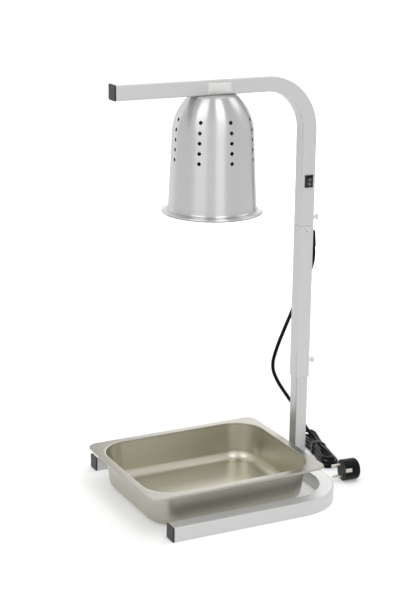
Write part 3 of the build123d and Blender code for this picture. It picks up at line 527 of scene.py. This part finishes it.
def vent_rings(radius_here):
    """Shares of a vent tile: point = circle + share * (square - circle), spoke by spoke."""
    step = np.arange(SPOKES + 1)
    angle = np.radians(-135 + 360 / SPOKES * step)
    corners = np.array([(-0.5, -0.5), (0.5, -0.5), (0.5, 0.5), (-0.5, 0.5), (-0.5, -0.5)])
    square = together(*(np.interp(4 * step / SPOKES, np.arange(5), way) for way in corners.T))
    circle = together(VENT_R * np.cos(angle) / (radius_here[:, None] * TILE),
                      VENT_R * np.sin(angle) / VENT_STEP)
    return circle[:, None] + RING_SHARES[:, None, None] * (square - circle[:, None])


def repeated(faces, count, points_each):
    """The same faces for many grids of points that lie one after another."""
    return (np.arange(count)[:, None, None] * points_each + faces).reshape(-1, 4)


column, row = (index.ravel() for index in np.meshgrid(
    np.arange(TILES), np.arange(VENT_ROWS), indexing="ij"))
vented = column % TILES_PER_VENT == 0
cuts = np.linspace(-0.5, 0.5, CUTS + 1)
across, along = (share.ravel() for share in np.meshgrid(cuts, -cuts))
plain = tile_points(column[~vented], row[~vented], across, along)
plain_faces = repeated(grid_faces(CUTS + 1, CUTS + 1), (~vented).sum(), len(across))
rings = vent_rings(wall_radius(BELT_TOP - VENT_STEP * (row[vented] + 0.5)))
rings = rings.reshape(len(rings), -1, 2)
vents = tile_points(column[vented], row[vented], rings[..., 0], rings[..., 1])
vent_faces = repeated(grid_faces(len(RING_SHARES), SPOKES + 1), len(rings), rings.shape[1])
print("tiles:", len(column), "with a vent:", int(vented.sum()))

# %% Shade
SHADE_T = 1 * MM
sheets = [
    turned_section(upper_section, 0),
    turned(*plain, plain_faces),
    turned(*vents, vent_faces),
    turned_section(lower_section, wall_start),
]
offsets = np.cumsum([0] + [len(points) for points, _, _ in sheets])
spun_shade = piece(
    "spun_shade",
    np.concatenate([points for points, _, _ in sheets]),
    np.concatenate([faces + offset for (_, faces, _), offset in zip(sheets, offsets)]),
    np.concatenate([uv for _, _, uv in sheets]),
)
give_wall(spun_shade, SHADE_T)
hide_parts("shade", "shade_skirt")
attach(spun_shade, "arm")
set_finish(spun_shade, "spun_aluminium")
print("shade:", len(spun_shade.data.polygons), "faces")

# %% [markdown]
# ## Food pan
# The pan is a half-size gastronorm pan, drawn from one sheet of stainless steel: a flange with a
# turned-down lip, a sloping wall with wide corners, and a large radius at the foot. Every level
# of it is a rectangle with rounded corners, so its surface is that outline, whose half sides,
# corner radius and height follow the pan's section from the lip in to the middle of the floor.

# %% Outline of the pan
CORNER_POINTS, SIDE_POINTS = 15, 12


def rounded_outline(half, corner):
    """Rectangles with rounded corners, one row each: corner's middle + radius * direction, and
    points along the sides."""
    turn = np.radians(np.linspace(0, 90, CORNER_POINTS) + 90 * np.arange(4)[:, None])
    quarter = np.array([(1, 1), (-1, 1), (-1, -1), (1, -1)])
    middle = (half - corner[:, None])[:, None, None] * quarter[:, None]
    bends = middle + corner[:, None, None, None] * spoke(turn)
    ahead = np.roll(bends[:, :, :1], -1, axis=1)
    share = np.linspace(0, 1, SIDE_POINTS + 2)[1:-1, None]
    sides = bends[:, :, -1:] + share * (ahead - bends[:, :, -1:])
    round_once = np.concatenate([bends, sides], axis=2).reshape(len(half), -1, 2)
    return np.concatenate([round_once, round_once[:, :1]], axis=1)


print("points round the pan:", 4 * (CORNER_POINTS + SIDE_POINTS))

# %% Section of the pan: how far in from the lip, and how high, in millimetres
HALF_W, HALF_L, DEPTH, SHEET = 132.5, 162.5, 65, 0.8
DRAFT_DEGREES, MOUTH_IN, FLOOR_IN = 7.5, 13.5, 42
LIP_FOOT, LIP_R, EDGE_R, FOOT_R = 62, 1.2, 1.6, 16.0
LIP_CORNER, FLANGE_CORNER, MOUTH_CORNER = 18, 16, 52
DRAFT = math.radians(DRAFT_DEGREES)
slope = math.tan(DRAFT)
edge_in = MOUTH_IN + slope * EDGE_R - EDGE_R / math.cos(DRAFT)
foot_in = MOUTH_IN + slope * (DEPTH - SHEET - FOOT_R) + FOOT_R / math.cos(DRAFT)
pan_wall_z = np.linspace(63.6, 14.8, 14)
section = np.concatenate([
    np.linspace((0, LIP_FOOT), (0, 63.7), 4),
    polar((LIP_R, DEPTH - LIP_R), LIP_R, 180, 90, 7),
    np.linspace((2.5, DEPTH), (11, DEPTH), 6),
    polar((edge_in, DEPTH - EDGE_R), EDGE_R, 90, 8, 9),
    np.stack([MOUTH_IN + slope * (DEPTH - pan_wall_z), pan_wall_z], axis=1),
    polar((foot_in, SHEET + FOOT_R), FOOT_R, 180 + DRAFT_DEGREES, 270, 14),
    np.linspace((FLOOR_IN, SHEET), (HALF_W, SHEET), 12),
])
inset = section[:, 0]
corner = np.interp(
    inset, [0, 2.5, 13, foot_in, HALF_W],
    [LIP_CORNER, FLANGE_CORNER, MOUTH_CORNER, MOUTH_CORNER - foot_in + MOUTH_IN, 0])
print("pan section:", len(section), "levels")

# %% Food pan
PAN_MIDDLE, PAN_TURN = np.array([10, -185, 0]) * MM, math.radians(0.8)
WALL_LEVEL = 30
outline = rounded_outline(np.array([HALF_W, HALF_L]) * MM - inset[:, None] * MM, corner * MM)
cosine, sine = math.cos(PAN_TURN), math.sin(PAN_TURN)
flat = outline @ np.array([[cosine, -sine], [sine, cosine]]).T
points = PAN_MIDDLE + together(flat[..., 0], flat[..., 1], section[:, 1:] * MM)
uv = together(path_length(outline[WALL_LEVEL]), path_length(section)[:, None] * MM)
food_pan = piece("food_pan", points, grid_faces(*points.shape[:2]), uv)
give_wall(food_pan, SHEET * MM)
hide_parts("gn_pan")
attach(food_pan, "pan")
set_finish(food_pan, "stainless_steel")
faces = food_pan.data.polygons
# A face is on the outside where it looks away from the middle of the mouth.
from_mouth = read(faces, "center") - PAN_MIDDLE - (0, 0, DEPTH * MM)
pan_outside = (read(faces, "normal") * from_mouth).sum(axis=1) > 0.01 * MM
print("pan:", len(faces), "faces, outside", int(pan_outside.sum()))

# %% [markdown]
# ## Small pieces
# Some small things are easier to add here than in the CAD model. The clamp screws have knurled
# heads for the fingers: a wheel with ridges was rolled round them. The ridges are a wave of the
# radius, so each head gets a thin sleeve whose radius follows a sine.

# %% Knurled heads
HEAD_R, KNURL_R, RIDGE, RIDGES = 4.82, 4.9, 0.28, 15
KNURL_STEPS, KNURL_Y = 240, np.array([23.2, 23.5, 25.9, 26.2])[:, None]


def knurl(name, height, body):
    """Sleeve round a screw's head: radius = 4.9 mm + 0.28 mm |sin 15 a|, drawn in to the head at
    both ends."""
    angle = once_round(KNURL_STEPS)
    ridged = np.array([False, True, True, False])[:, None]
    reach = np.where(ridged, KNURL_R + RIDGE * np.abs(np.sin(RIDGES * angle)), HEAD_R)
    points = together(reach * np.cos(angle), KNURL_Y, height + reach * np.sin(angle)) * MM
    uv = together(KNURL_R * angle, KNURL_Y) * MM
    made = piece(name, points, grid_faces(*points.shape[:2])[:, ::-1], uv)
    made.data.set_sharp_from_angle(angle=SHARP)
    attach(made, body)
    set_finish(made, "zinc_plated_steel")
    return made


knurls = [knurl("mast_screw_knurl", 205.0, "mast_screw"),
          knurl("arm_screw_knurl", 458.5, "arm_screw")]
print("knurled sleeves:", [len(made.data.polygons) for made in knurls])

# %% [markdown]
# A blind rivet is set by pulling a steel pin through it until the pin breaks. Its broken end
# stays in the rivet's bore, on both sides of the post, and shows as a low dome.

# %% Rivet pins
PIN_R, PIN_FOOT, PIN_DOME, RIVET_Z = 1.25, 12.7, 0.3, 438


def pin_end(name, side):
    """A dome in the rivet's bore: height = 0.3 mm (1 - r squared over R squared), facing a side."""
    angle = once_round(24)
    reach = np.array([0, 0.5, 0.9, PIN_R])[:, None]
    height = side * (PIN_FOOT + PIN_DOME * (1 - (reach / PIN_R) ** 2))
    points = together(height, reach * np.cos(angle), RIVET_Z + reach * np.sin(angle)) * MM
    return piece(name, points, grid_faces(*points.shape[:2])[:, ::-side], points[..., 1:])


rivet_pins = [pin_end("rivet_pin_right", 1), pin_end("rivet_pin_left", -1)]
for made in rivet_pins:
    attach(made, "mast")
print("rivet pins:", [made.name for made in rivet_pins])

# %% [markdown]
# A bare plate of silvered film is stuck on the arm above the shade. It is the pan's rounded
# outline again, four times: its middle, its face, its edge and its foot on the tube.

# %% Plate on the arm
PLATE_HALF, PLATE_MIDDLE = np.array([(20.25, 8.3)]), (-167.25, 687.7)
PLATE_SHARES = np.array([[1e-6], [0.97], [1], [1]])
PLATE_CORNERS, PLATE_HEIGHTS = np.array([0, 1.0, 1.2, 1.2]), np.array([12.66, 12.66, 12.62, 12.5])
outline = rounded_outline(PLATE_HALF * PLATE_SHARES, PLATE_CORNERS)
plate = together(PLATE_HEIGHTS[:, None], *np.moveaxis(outline + PLATE_MIDDLE, -1, 0)) * MM
label_plate = piece("label_plate", plate, grid_faces(*plate.shape[:2])[:, ::-1], outline * MM)
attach(label_plate, "arm")
print("plate:", len(label_plate.data.polygons), "faces")

# %% [markdown]
# The rocker has the two plain marks for on and off, a bar and a ring, printed in white. Its face
# is dished, so the marks are flat shapes that are laid on the dish and tipped with it.

# %% Switch marks
DISH_R, DISH_FROM, TIP = 20.26, 23.91, math.radians(9)
PIVOT_X, PIVOT_Z = 11.5, 523.5
RING_RADII, RING_DOWN = (1.2, 1.7), 4
BAR_SIDES, BAR_HEIGHTS = np.array([-0.35, 0.35]), np.linspace(2.2, 5.6, 8)[:, None]


def on_rocker(across, upward):
    """Places across and up the rocker in mm, laid on its dish, a circle of 20.26 mm, and tipped
    with it by 9 degrees."""
    depth = DISH_FROM - np.sqrt(DISH_R ** 2 - upward ** 2)
    out = PIVOT_X + depth * math.cos(TIP) + upward * math.sin(TIP)
    high = PIVOT_Z - depth * math.sin(TIP) + upward * math.cos(TIP)
    return together(out, across, high) * MM


angle = once_round(32)
ring = on_rocker(np.outer(RING_RADII, np.cos(angle)),
                 np.outer(RING_RADII, np.sin(angle)) - RING_DOWN)
bar = on_rocker(BAR_SIDES, BAR_HEIGHTS)
marks = [piece("mark_off", ring, grid_faces(*ring.shape[:2])[:, ::-1], ring[..., 1:]),
         piece("mark_on", bar, grid_faces(*bar.shape[:2]), bar[..., 1:])]
for made in marks:
    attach(made, "rocker")
print("marks:", [made.name for made in marks])

# %% [markdown]
# ## Finishes
# A finish starts from what the surface really is: what it is made of, and which tool or process
# left its mark on it. A few helpers are enough. One turns a colour from its usual sRGB code into
# the linear values that the shader wants, one adds a node with its settings and links, and one
# makes a finish whose colour, roughness and height all follow the same drawn-out noise.

# %% Colours and nodes
def srgb(code):
    """Linear colour of a hex code: a channel c becomes ((c + 0.055) / 1.055) to the power 2.4."""
    channels = np.array([int(code[i:i + 2], 16) for i in (1, 3, 5)]) / 255
    linear = np.where(channels <= 0.04045, channels / 12.92, ((channels + 0.055) / 1.055) ** 2.4)
    return (*linear.tolist(), 1.0)


def add(tree, kind, inputs=None, **settings):
    """Add a node: settings are its own options, inputs maps a socket to a value or to another
    node's output."""
    made = tree.nodes.new(kind)
    for option, value in settings.items():
        setattr(made, option, value)
    for socket, value in (inputs or {}).items():
        if isinstance(value, bpy.types.NodeSocket):
            tree.links.new(value, made.inputs[socket])
        else:
            made.inputs[socket].default_value = value
    return made


finishes = {}
print("slots:", sorted({made.material_slots[0].name for made in nodes.values()}))

# %% Finishes that follow a pattern
def finish(name, **sockets):
    """A material with one shader, whose constant values are set on its own sockets."""
    made = bpy.data.materials.new(name)
    made.use_nodes = True
    shader = made.node_tree.nodes["Principled BSDF"]
    for socket, value in sockets.items():
        shader.inputs[socket.replace("_", " ")].default_value = value
    return made, made.node_tree, shader


def stretched(tree, source, size):
    """Texture coordinates in which one unit is the given size in millimetres along each axis."""
    place = add(tree, "ShaderNodeTexCoord").outputs[source]
    scale = [1 / (s * MM) for s in size]
    return add(tree, "ShaderNodeMapping", {"Vector": place, "Scale": scale}).outputs[0]


def follow(tree, shader, pattern, dark, light, rough, depth):
    """Let colour, roughness and height follow a pattern: two hex codes, two roughnesses, and a
    depth in millimetres."""
    between = {0: pattern, 6: srgb(dark), 7: srgb(light)}
    colour = add(tree, "ShaderNodeMix", between, data_type="RGBA")
    tree.links.new(colour.outputs[2], shader.inputs["Base Color"])
    roughness = add(tree, "ShaderNodeMapRange", {0: pattern, 3: rough[0], 4: rough[1]})
    tree.links.new(roughness.outputs[0], shader.inputs["Roughness"])
    bump = add(tree, "ShaderNodeBump", {"Height": pattern, "Distance": depth * MM})
    tree.links.new(bump.outputs[0], shader.inputs["Normal"])


def grained(name, dark, light, rough, size, depth, source="Object", **sockets):
    """A finish that follows noise with blotches of the given size, its contrast made steeper."""
    made, tree, shader = finish(name, **sockets)
    noise = add(tree, "ShaderNodeTexNoise", {
        "Vector": stretched(tree, source, size), "Scale": 1.0, "Detail": 3.0})
    steeper = add(tree, "ShaderNodeMapRange", {0: noise.outputs[0], 1: 0.3, 2: 0.7})
    follow(tree, shader, steeper.outputs[0], dark, light, rough, depth)
    return made, tree, shader


print("white in linear values:", srgb("#FFFFFF"))

# %% [markdown]
# ** Aluminium.** The tubes are extruded, brushed lengthwise and lacquered: their lines run along the UV map's second direction, and the lacquer scatters part of the light, so that they look only half like metal. Real lines are hundredths of a millimetre wide; these are drawn coarser, at 1.6 mm, as the picture can't show finer ones. The slimmer post keeps the plain skin of the extrusion, because it slides, and is shinier; its darker grey is painted shade, for the shade it stands in low down under the wider post. Bosses and blocks are turned and milled, with short marks.

# %% Tubes, bosses and blocks
brushed = grained(
    "brushed_lacquered_aluminium", "#CBCBCB", "#CFCFCF", rough=(0.41, 0.45),
    source="UV", size=(1.6, 140, 1), depth=0.004, Metallic=0.55)[0]
shaded_slim_aluminium = grained(
    "painted_shade_slim_aluminium", "#B9B9B9", "#BEBEBE", rough=(0.36, 0.42),
    source="UV", size=(2.4, 140, 1), depth=0.004, Metallic=1.0)[0]
milled = grained(
    "milled_aluminium", "#B4B4B5", "#C6C6C7", rough=(0.28, 0.42),
    size=(2, 2, 1.2), depth=0.02, Metallic=1.0)[0]
finishes["satin_aluminium"] = brushed
print("aluminium:", [made.name for made in (brushed, shaded_slim_aluminium, milled)])

# %% [markdown]
# **Spun aluminium.** The shade was turned against a tool: its lines go round it, and a light then
# stretches across the lines into a streak from shoulder to rim. That is anisotropy, with its
# direction taken from the UV map. The lines are drawn 1.8 mm wide, again coarser than real ones.
# On the flange and the top of its rolled edge, a lighter grey is painted highlight, and where the
# rolled edge turns under, a dark grey is painted shade.

# %% Shade's finish
# Painted light on the flange, in mm along the section from its start: a lighter band is painted
# highlight, and a dark band under the rolled edge is painted shade.
FLANGE_PAINTED_LIGHT = ((3, 9, "#CDCDCD"), (13, 15, "#868686"))


def follow_lines(tree, shader):
    """Turn the highlight along the UV map's first direction; give the distance along its second."""
    lines = add(tree, "ShaderNodeTangent", direction_type="UV_MAP", uv_map="surface")
    tree.links.new(lines.outputs[0], shader.inputs["Tangent"])
    place = add(tree, "ShaderNodeTexCoord").outputs["UV"]
    return add(tree, "ShaderNodeSeparateXYZ", {0: place}).outputs["Y"]


spun, tree, shader = grained(
    "spun_aluminium", "#BCBCBC", "#C0C0C0", rough=(0.28, 0.31), source="UV", size=(140, 1.8, 1),
    depth=0.001, Metallic=1.0, Anisotropic=0.85, Anisotropic_Rotation=0.25)
down = follow_lines(tree, shader)
flange_start = wall_start + path_length(lower_section)[WALL_ROWS]
colour = shader.inputs["Base Color"].links[0].from_socket
for first, last, code in FLANGE_PAINTED_LIGHT:
    band = {0: down, 1: flange_start + first * MM, 2: flange_start + last * MM}
    past = add(tree, "ShaderNodeMapRange", band).outputs[0]
    both = {0: past, 6: colour, 7: srgb(code)}
    colour = add(tree, "ShaderNodeMix", both, data_type="RGBA").outputs[2]
tree.links.new(colour, shader.inputs["Base Color"])
finishes["spun_aluminium"] = spun
print("shade's finish:", spun.name, "with", len(FLANGE_PAINTED_LIGHT), "bands on the flange")

# %% [markdown]
# ** Stainless steel.** The pan is deep-drawn, a warmer and darker grey than aluminium, with fine marks round its walls from drawing and polishing, here 2.2 mm wide so that they show. Its flange and its whole outside get darker greys, which are painted shade: they tone down the bright wall behind and the bright floor that these faces mirror.

# %% Pan's finish
FLANGE_END, WALL_BEGIN = 14 * MM, 20 * MM
drawn, tree, shader = grained(
    "deep_drawn_stainless_steel", "#C0BDAF", "#C4C1B3", rough=(0.29, 0.33), source="UV",
    size=(80, 2.2, 1), depth=0.0005, Metallic=1.0, Anisotropic=0.2, Anisotropic_Rotation=0.25)
inwards = follow_lines(tree, shader)
# The flange, out to FLANGE_END from the lip, gets a darker grey: painted shade against the bright
# wall behind that it mirrors.
past = add(tree, "ShaderNodeMapRange", {0: inwards, 1: FLANGE_END, 2: WALL_BEGIN}).outputs[0]
inner = shader.inputs["Base Color"].links[0].from_socket
both = {0: past, 6: srgb("#87857D"), 7: inner}
painted_shade_flange = add(tree, "ShaderNodeMix", both, data_type="RGBA")
tree.links.new(painted_shade_flange.outputs[2], shader.inputs["Base Color"])
finishes["stainless_steel"] = drawn
# The outside gets a darker grey of its own: painted shade against the bright floor that it mirrors.
shaded_outside_steel = grained(
    "painted_shade_outside_stainless_steel", "#A4A197", "#A9A69C", rough=(0.33, 0.37),
    source="UV", size=(80, 2.2, 1), depth=0.0005, Metallic=1.0)[0]
print("pan's finishes:", drawn.name, shaded_outside_steel.name)

# %% [markdown]
# ** Plated and broken metal.** Screws and rivets have bright zinc, which is faintly blotched. The plug's pins and the lamp's screw cap are brass with nickel plate, a warmer shine with faint drawing marks. The rivet's broken pin is rough, and its near-black colour is painted shade for the dark bore it sits in.

# %% Zinc, nickel and the broken pin
finishes["zinc_plated_steel"] = grained(
    "bright_zinc_plated_steel", "#D6D8DA", "#E4E5E6", rough=(0.29, 0.38),
    size=(3, 3, 3), depth=0.005, Metallic=1.0)[0]
finishes["nickel_brass"] = grained(
    "nickel_plated_brass", "#BDB8AA", "#CFCBBF", rough=(0.28, 0.34),
    size=(4, 1.5, 4), depth=0.005, Metallic=1.0)[0]
# The rivet pin's near-black is painted shade, for the dark bore it sits in.
pin_in_shade = grained(
    "painted_shade_rivet_pin", "#0A0A0A", "#161616", rough=(0.5, 0.7),
    size=(0.8, 0.8, 0.8), depth=0.05, Specular_IOR_Level=0.2)[0]
print("metals:", sorted(finishes))

# %% [markdown]
# **Plastic and rubber.** The end caps are moulded polyethylene with a fine matt grain, the switch
# is harder black polyamide with a finer one. The cord's PVC sheath is smoother and shines a
# little. The plate is polyester film with a silver coat, brighter and softer than the tube, and
# the marks are a chalky white ink.

# %% Plastic, rubber, film and ink
finishes["cap_plastic"] = grained(
    "moulded_polyethylene", "#2F2F30", "#3A3A3B", rough=(0.42, 0.56),
    size=(1.6, 1.6, 1.6), depth=0.06, Specular_IOR_Level=0.3)[0]
finishes["switch_plastic"] = grained(
    "moulded_black_polyamide", "#121213", "#1D1D1E", rough=(0.32, 0.46),
    size=(1.6, 1.6, 1.6), depth=0.04)[0]
finishes["black_rubber"] = grained(
    "extruded_black_pvc", "#070708", "#0E0E0F", rough=(0.26, 0.40),
    size=(5, 5, 5), depth=0.05, Specular_IOR_Level=0.12)[0]
film = grained(
    "silvered_polyester_film", "#DCDCD9", "#E3E3E0", rough=(0.40, 0.48),
    size=(4, 18, 4), depth=0.005, Metallic=0.9)[0]
ink = grained(
    "white_printing_ink", "#C9C9C7", "#E2E2E0", rough=(0.5, 0.65),
    size=(0.8, 0.8, 0.8), depth=0.02)[0]
print("plastic and rubber:", sorted(finishes))

# %% [markdown]
# **Tape.** The strap is woven: two waves that cross give its threads, drawn coarser, at 1.6 mm,
# and a sheen stands for its loose hairs. A wave texture of scale 1 repeats every 0.314 units.

# %% Woven tape
THREAD, WAVE_SCALE = (1.6, 1.6, 1.6), 0.314
tape, tree, shader = finish("woven_hook_and_loop_tape", Sheen_Weight=0.3, Sheen_Roughness=0.5)
warp, weft = (
    add(tree, "ShaderNodeTexWave", {"Vector": stretched(tree, "UV", THREAD), "Scale": WAVE_SCALE},
        bands_direction=direction).outputs["Fac"] for direction in ("X", "Y"))
crossed = add(tree, "ShaderNodeMath", {0: warp, 1: weft}, operation="MULTIPLY")
follow(tree, shader, crossed.outputs[0], "#0C0C0D", "#1E1E20", rough=(0.8, 0.95), depth=0.2)
finishes["tie_fabric"] = tape
print("tape:", tape.name)

# %% [markdown]
# **Lamp.** The holder is porcelain, which stays unglazed where it gets hot. The bulb's bowl is
# pressed glass with a mirror coat inside, and its front is clear glass with a stipple of small
# lenses that spreads the heat evenly. The wires near the lamp have sleeves of silicone rubber,
# pale and matt, which stands the heat.

# %% Lamp and wires
finishes["ceramic"] = grained(
    "bisque_porcelain", "#E4DFD3", "#EFECE3", rough=(0.55, 0.7),
    size=(3, 3, 3), depth=0.03)[0]
finishes["reflector_glass"] = grained(
    "aluminised_pressed_glass", "#C9C9C9", "#DADADA", rough=(0.10, 0.18),
    size=(6, 6, 14), depth=0.02, Metallic=1.0)[0]
clear, tree, shader = finish("stippled_pressed_glass", Transmission_Weight=1.0)
lenses = add(tree, "ShaderNodeTexVoronoi", {
    "Vector": stretched(tree, "Object", (3, 3, 3)), "Scale": 1.0})
follow(tree, shader, lenses.outputs["Distance"], "#E6E8E4", "#F6F7F4",
       rough=(0.06, 0.14), depth=0.4)
finishes["lamp_glass"] = clear
finishes["wire_insulation"] = grained(
    "extruded_silicone_rubber", "#CFCABD", "#DDD8CC", rough=(0.45, 0.60),
    size=(4, 4, 4), depth=0.02)[0]
print("finishes:", len(finishes))

# %% [markdown]
# ** Dressing.** A CAD node comes with a slot that names its material, and a new piece was given a slot's name above, so one table dresses both. Only the new tubes are brushed: the bosses and blocks that share their slot are milled. The slimmer post gets its darker grey, and the pan's outside its second, darker finish, both painted shade.

# %% Give every piece its finish
for made in nodes.values():
    for slot in made.material_slots:
        kind = slot.material.name.split(".")[0]
        slot.material = milled if kind == "satin_aluminium" else finishes[kind]
pieces = {made: finishes[made["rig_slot"]] for made in (
    mains_cord, cord_strap, spun_shade, food_pan, *knurls, *tubes.values())}
# The slimmer post's darker grey is painted shade.
pieces[tubes["lower_tube"]] = shaded_slim_aluminium
pieces |= {made: pin_in_shade for made in rivet_pins} | {made: ink for made in marks}
pieces[label_plate] = film
for made, material in pieces.items():
    made.data.materials.clear()
    made.data.materials.append(material)
# The pan's outside takes the darker steel, which is painted shade.
food_pan.data.materials.append(shaded_outside_steel)
food_pan.data.polygons.foreach_set("material_index", pan_outside.astype(int))
print("dressed pieces:", len(pieces))

# %% [markdown]
# ## Stage
# A plain pale floor under soft light, as in a product photograph. The floor adds some of its own
# white. For camera rays that grows with the distance from the lamp, so that the floor just
# reaches white and keeps the object's shadow. Mirrors and glass see the same share everywhere.
# The sky is white for all these rays, a little less overhead, and dimmer for the rest.

# %% Floor
FLOOR_HALF, SHADOW_MIDDLE = 12.0, (0.0, -0.15, 0.0)
NEARBY, FAR_OFF, WHITE_NEARBY, WHITE_FAR_OFF, WHITE_IN_MIRRORS = 0.6, 1.8, 0.29, 0.8, 0.45


def seen_rays(tree):
    """Two switches: one for camera rays, and one for rays that a mirror or glass sends on."""
    path = add(tree, "ShaderNodeLightPath").outputs
    either = {0: path["Is Glossy Ray"], 1: path["Is Transmission Ray"]}
    sent_on = add(tree, "ShaderNodeMath", either, operation="MAXIMUM")
    return path["Is Camera Ray"], sent_on.outputs[0]


floor = piece("floor", np.array([(-1, -1, 0), (1, -1, 0), (1, 1, 0), (-1, 1, 0)]) * FLOOR_HALF,
              np.array([[0, 1, 2, 3]]), np.zeros((4, 2)))
paper, tree, shader = finish("pale_studio_paper", Base_Color=srgb("#E6E6E5"), Roughness=0.9,
                             Emission_Color=srgb("#FFFFFF"), Specular_IOR_Level=0.0)
to_camera, sent_on = seen_rays(tree)
place = add(tree, "ShaderNodeTexCoord").outputs["Object"]
away = add(tree, "ShaderNodeVectorMath", {0: place, 1: SHADOW_MIDDLE}, operation="DISTANCE")
own_white = add(tree, "ShaderNodeMapRange", {
    0: away.outputs["Value"], 1: NEARBY, 2: FAR_OFF, 3: WHITE_NEARBY, 4: WHITE_FAR_OFF})
in_mirrors = add(tree, "ShaderNodeMath", {0: sent_on, 1: WHITE_IN_MIRRORS}, operation="MULTIPLY")
seen_white = add(tree, "ShaderNodeMath", {
    0: to_camera, 1: own_white.outputs[0], 2: in_mirrors.outputs[0]}, operation="MULTIPLY_ADD")
tree.links.new(seen_white.outputs[0], shader.inputs["Emission Strength"])
floor.data.materials.append(paper)
print("floor:", 2 * FLOOR_HALF, "m wide")

# %% Sky
LOW, HIGH, WHITE_LOW, WHITE_HIGH, UNSEEN = 0.1, 0.7, 1.0, 0.85, 0.5
world = bpy.data.worlds.new("white_studio")
scene.world = world
world.use_nodes = True
sky = world.node_tree
to_camera, sent_on = seen_rays(sky)
direction = add(sky, "ShaderNodeTexCoord").outputs["Generated"]
climb = add(sky, "ShaderNodeSeparateXYZ", {0: direction}).outputs["Z"]
upper = add(sky, "ShaderNodeMapRange", {0: climb, 1: LOW, 2: HIGH, 3: WHITE_LOW, 4: WHITE_HIGH})
seen = add(sky, "ShaderNodeMath", {0: to_camera, 1: sent_on}, operation="MAXIMUM")
strength = add(sky, "ShaderNodeMix", {0: seen.outputs[0], 2: UNSEEN, 3: upper.outputs[0]})
background = sky.nodes["Background"].inputs
sky.links.new(strength.outputs[0], background["Strength"])
background["Color"].default_value = srgb("#FFFFFF")
print("sky:", world.name)

# %% [markdown]
# The photograph's shade shows where the lights stood: two bright streaks with a grey one between
# them, and white patches on the shoulder. A turned wall that faces the angle a beside the camera
# mirrors what stands at twice that angle. So a wide bank of soft boxes stands left of the camera
# and a narrower one right of it, each with a low box for the wall and a brighter high one for the
# shoulder, and a dim box fills the gap. Two narrow boxes high behind shine in the metal that
# faces nearly up. A narrow wall behind whitens the tops of the tubes but misses the shade's
# flange, which stays grey. Further back, a box at the right and a dim one at the left light what
# faces sideways. A broad light overhead, which mirrors don't see, does the rest.

# %% Soft boxes
SHADE_MIDDLE = np.array([0, -0.1725, 0.6])
TOWARDS = np.array([math.sin(AZIMUTH), -math.cos(AZIMUTH), 0])
RIGHTWARDS = np.array([math.cos(AZIMUTH), math.sin(AZIMUTH), 0])


def from_shade(right, towards, up):
    """A place in metres right of the shade, towards the camera and up, as the camera sees it."""
    return SHADE_MIDDLE + right * RIGHTWARDS + towards * TOWARDS + up * np.array([0, 0, 1])


def soft_box(name, place, aim, width, height, radiance):
    """A rectangular lamp that looks at a point; its power is pi * area * radiance."""
    lamp = bpy.data.lights.new(name, "AREA")
    lamp.shape = "RECTANGLE"
    lamp.size, lamp.size_y = width, height
    lamp.energy = math.pi * width * height * radiance
    made = bpy.data.objects.new(name, lamp)
    made.location = place
    made.rotation_euler = (Vector(aim) - Vector(place)).to_track_quat("-Z", "Y").to_euler()
    made.visible_camera = False
    scene.collection.objects.link(made)
    return made


overhead = soft_box("overhead", (0.2, 0.1, 2.6), (0, -0.15, 0), 2.4, 2.4, 1.0)
overhead.visible_glossy = False
# Each box: its name, its place and its aim from the shade, its width, height and radiance.
for name, place, aim, *sizes in (
    ("left_low_bank", (-1.0, 1.3, 0.33), (-1.0, 0.38, -0.06), 1.16, 1.54, 0.5),
    ("left_high_bank", (-1.0, 0.6, 1.98), (-1.0, -0.32, 1.59), 1.16, 2.04, 1.7),
    ("right_low_bank", (0.56, 1.3, 0.33), (0.56, 0.38, -0.06), 0.68, 1.54, 0.65),
    ("right_high_bank", (0.56, 0.6, 1.98), (0.56, -0.32, 1.59), 0.68, 2.04, 2.3),
    ("rear_bank", (-0.29, -1.75, 1.75), (0, 0, 0), 0.40, 0.92, 2.2),
    ("rear_bank", (0.29, -1.75, 1.75), (0, 0, 0), 0.40, 0.92, 2.2),
    ("middle_bank", (-0.1, 1.3, 0.33), (-0.1, 0.38, -0.06), 0.64, 1.54, 0.13),
    ("side_bank", (1.44, -0.77, 1.47), (0, 0, 0), 1.0, 0.8, 1.4),
    ("back_wall", (0.1, -3.0, 0.65), (0.1, 0, 0.2), 0.85, 2.1, 1.7),
    ("left_wall", (-2.0, -1.7, 0.4), (0, 0, 0), 1.4, 1.8, 0.3),
):
    soft_box(name, from_shade(*place), from_shade(*aim), *sizes)
scene.view_settings.view_transform = "Standard"
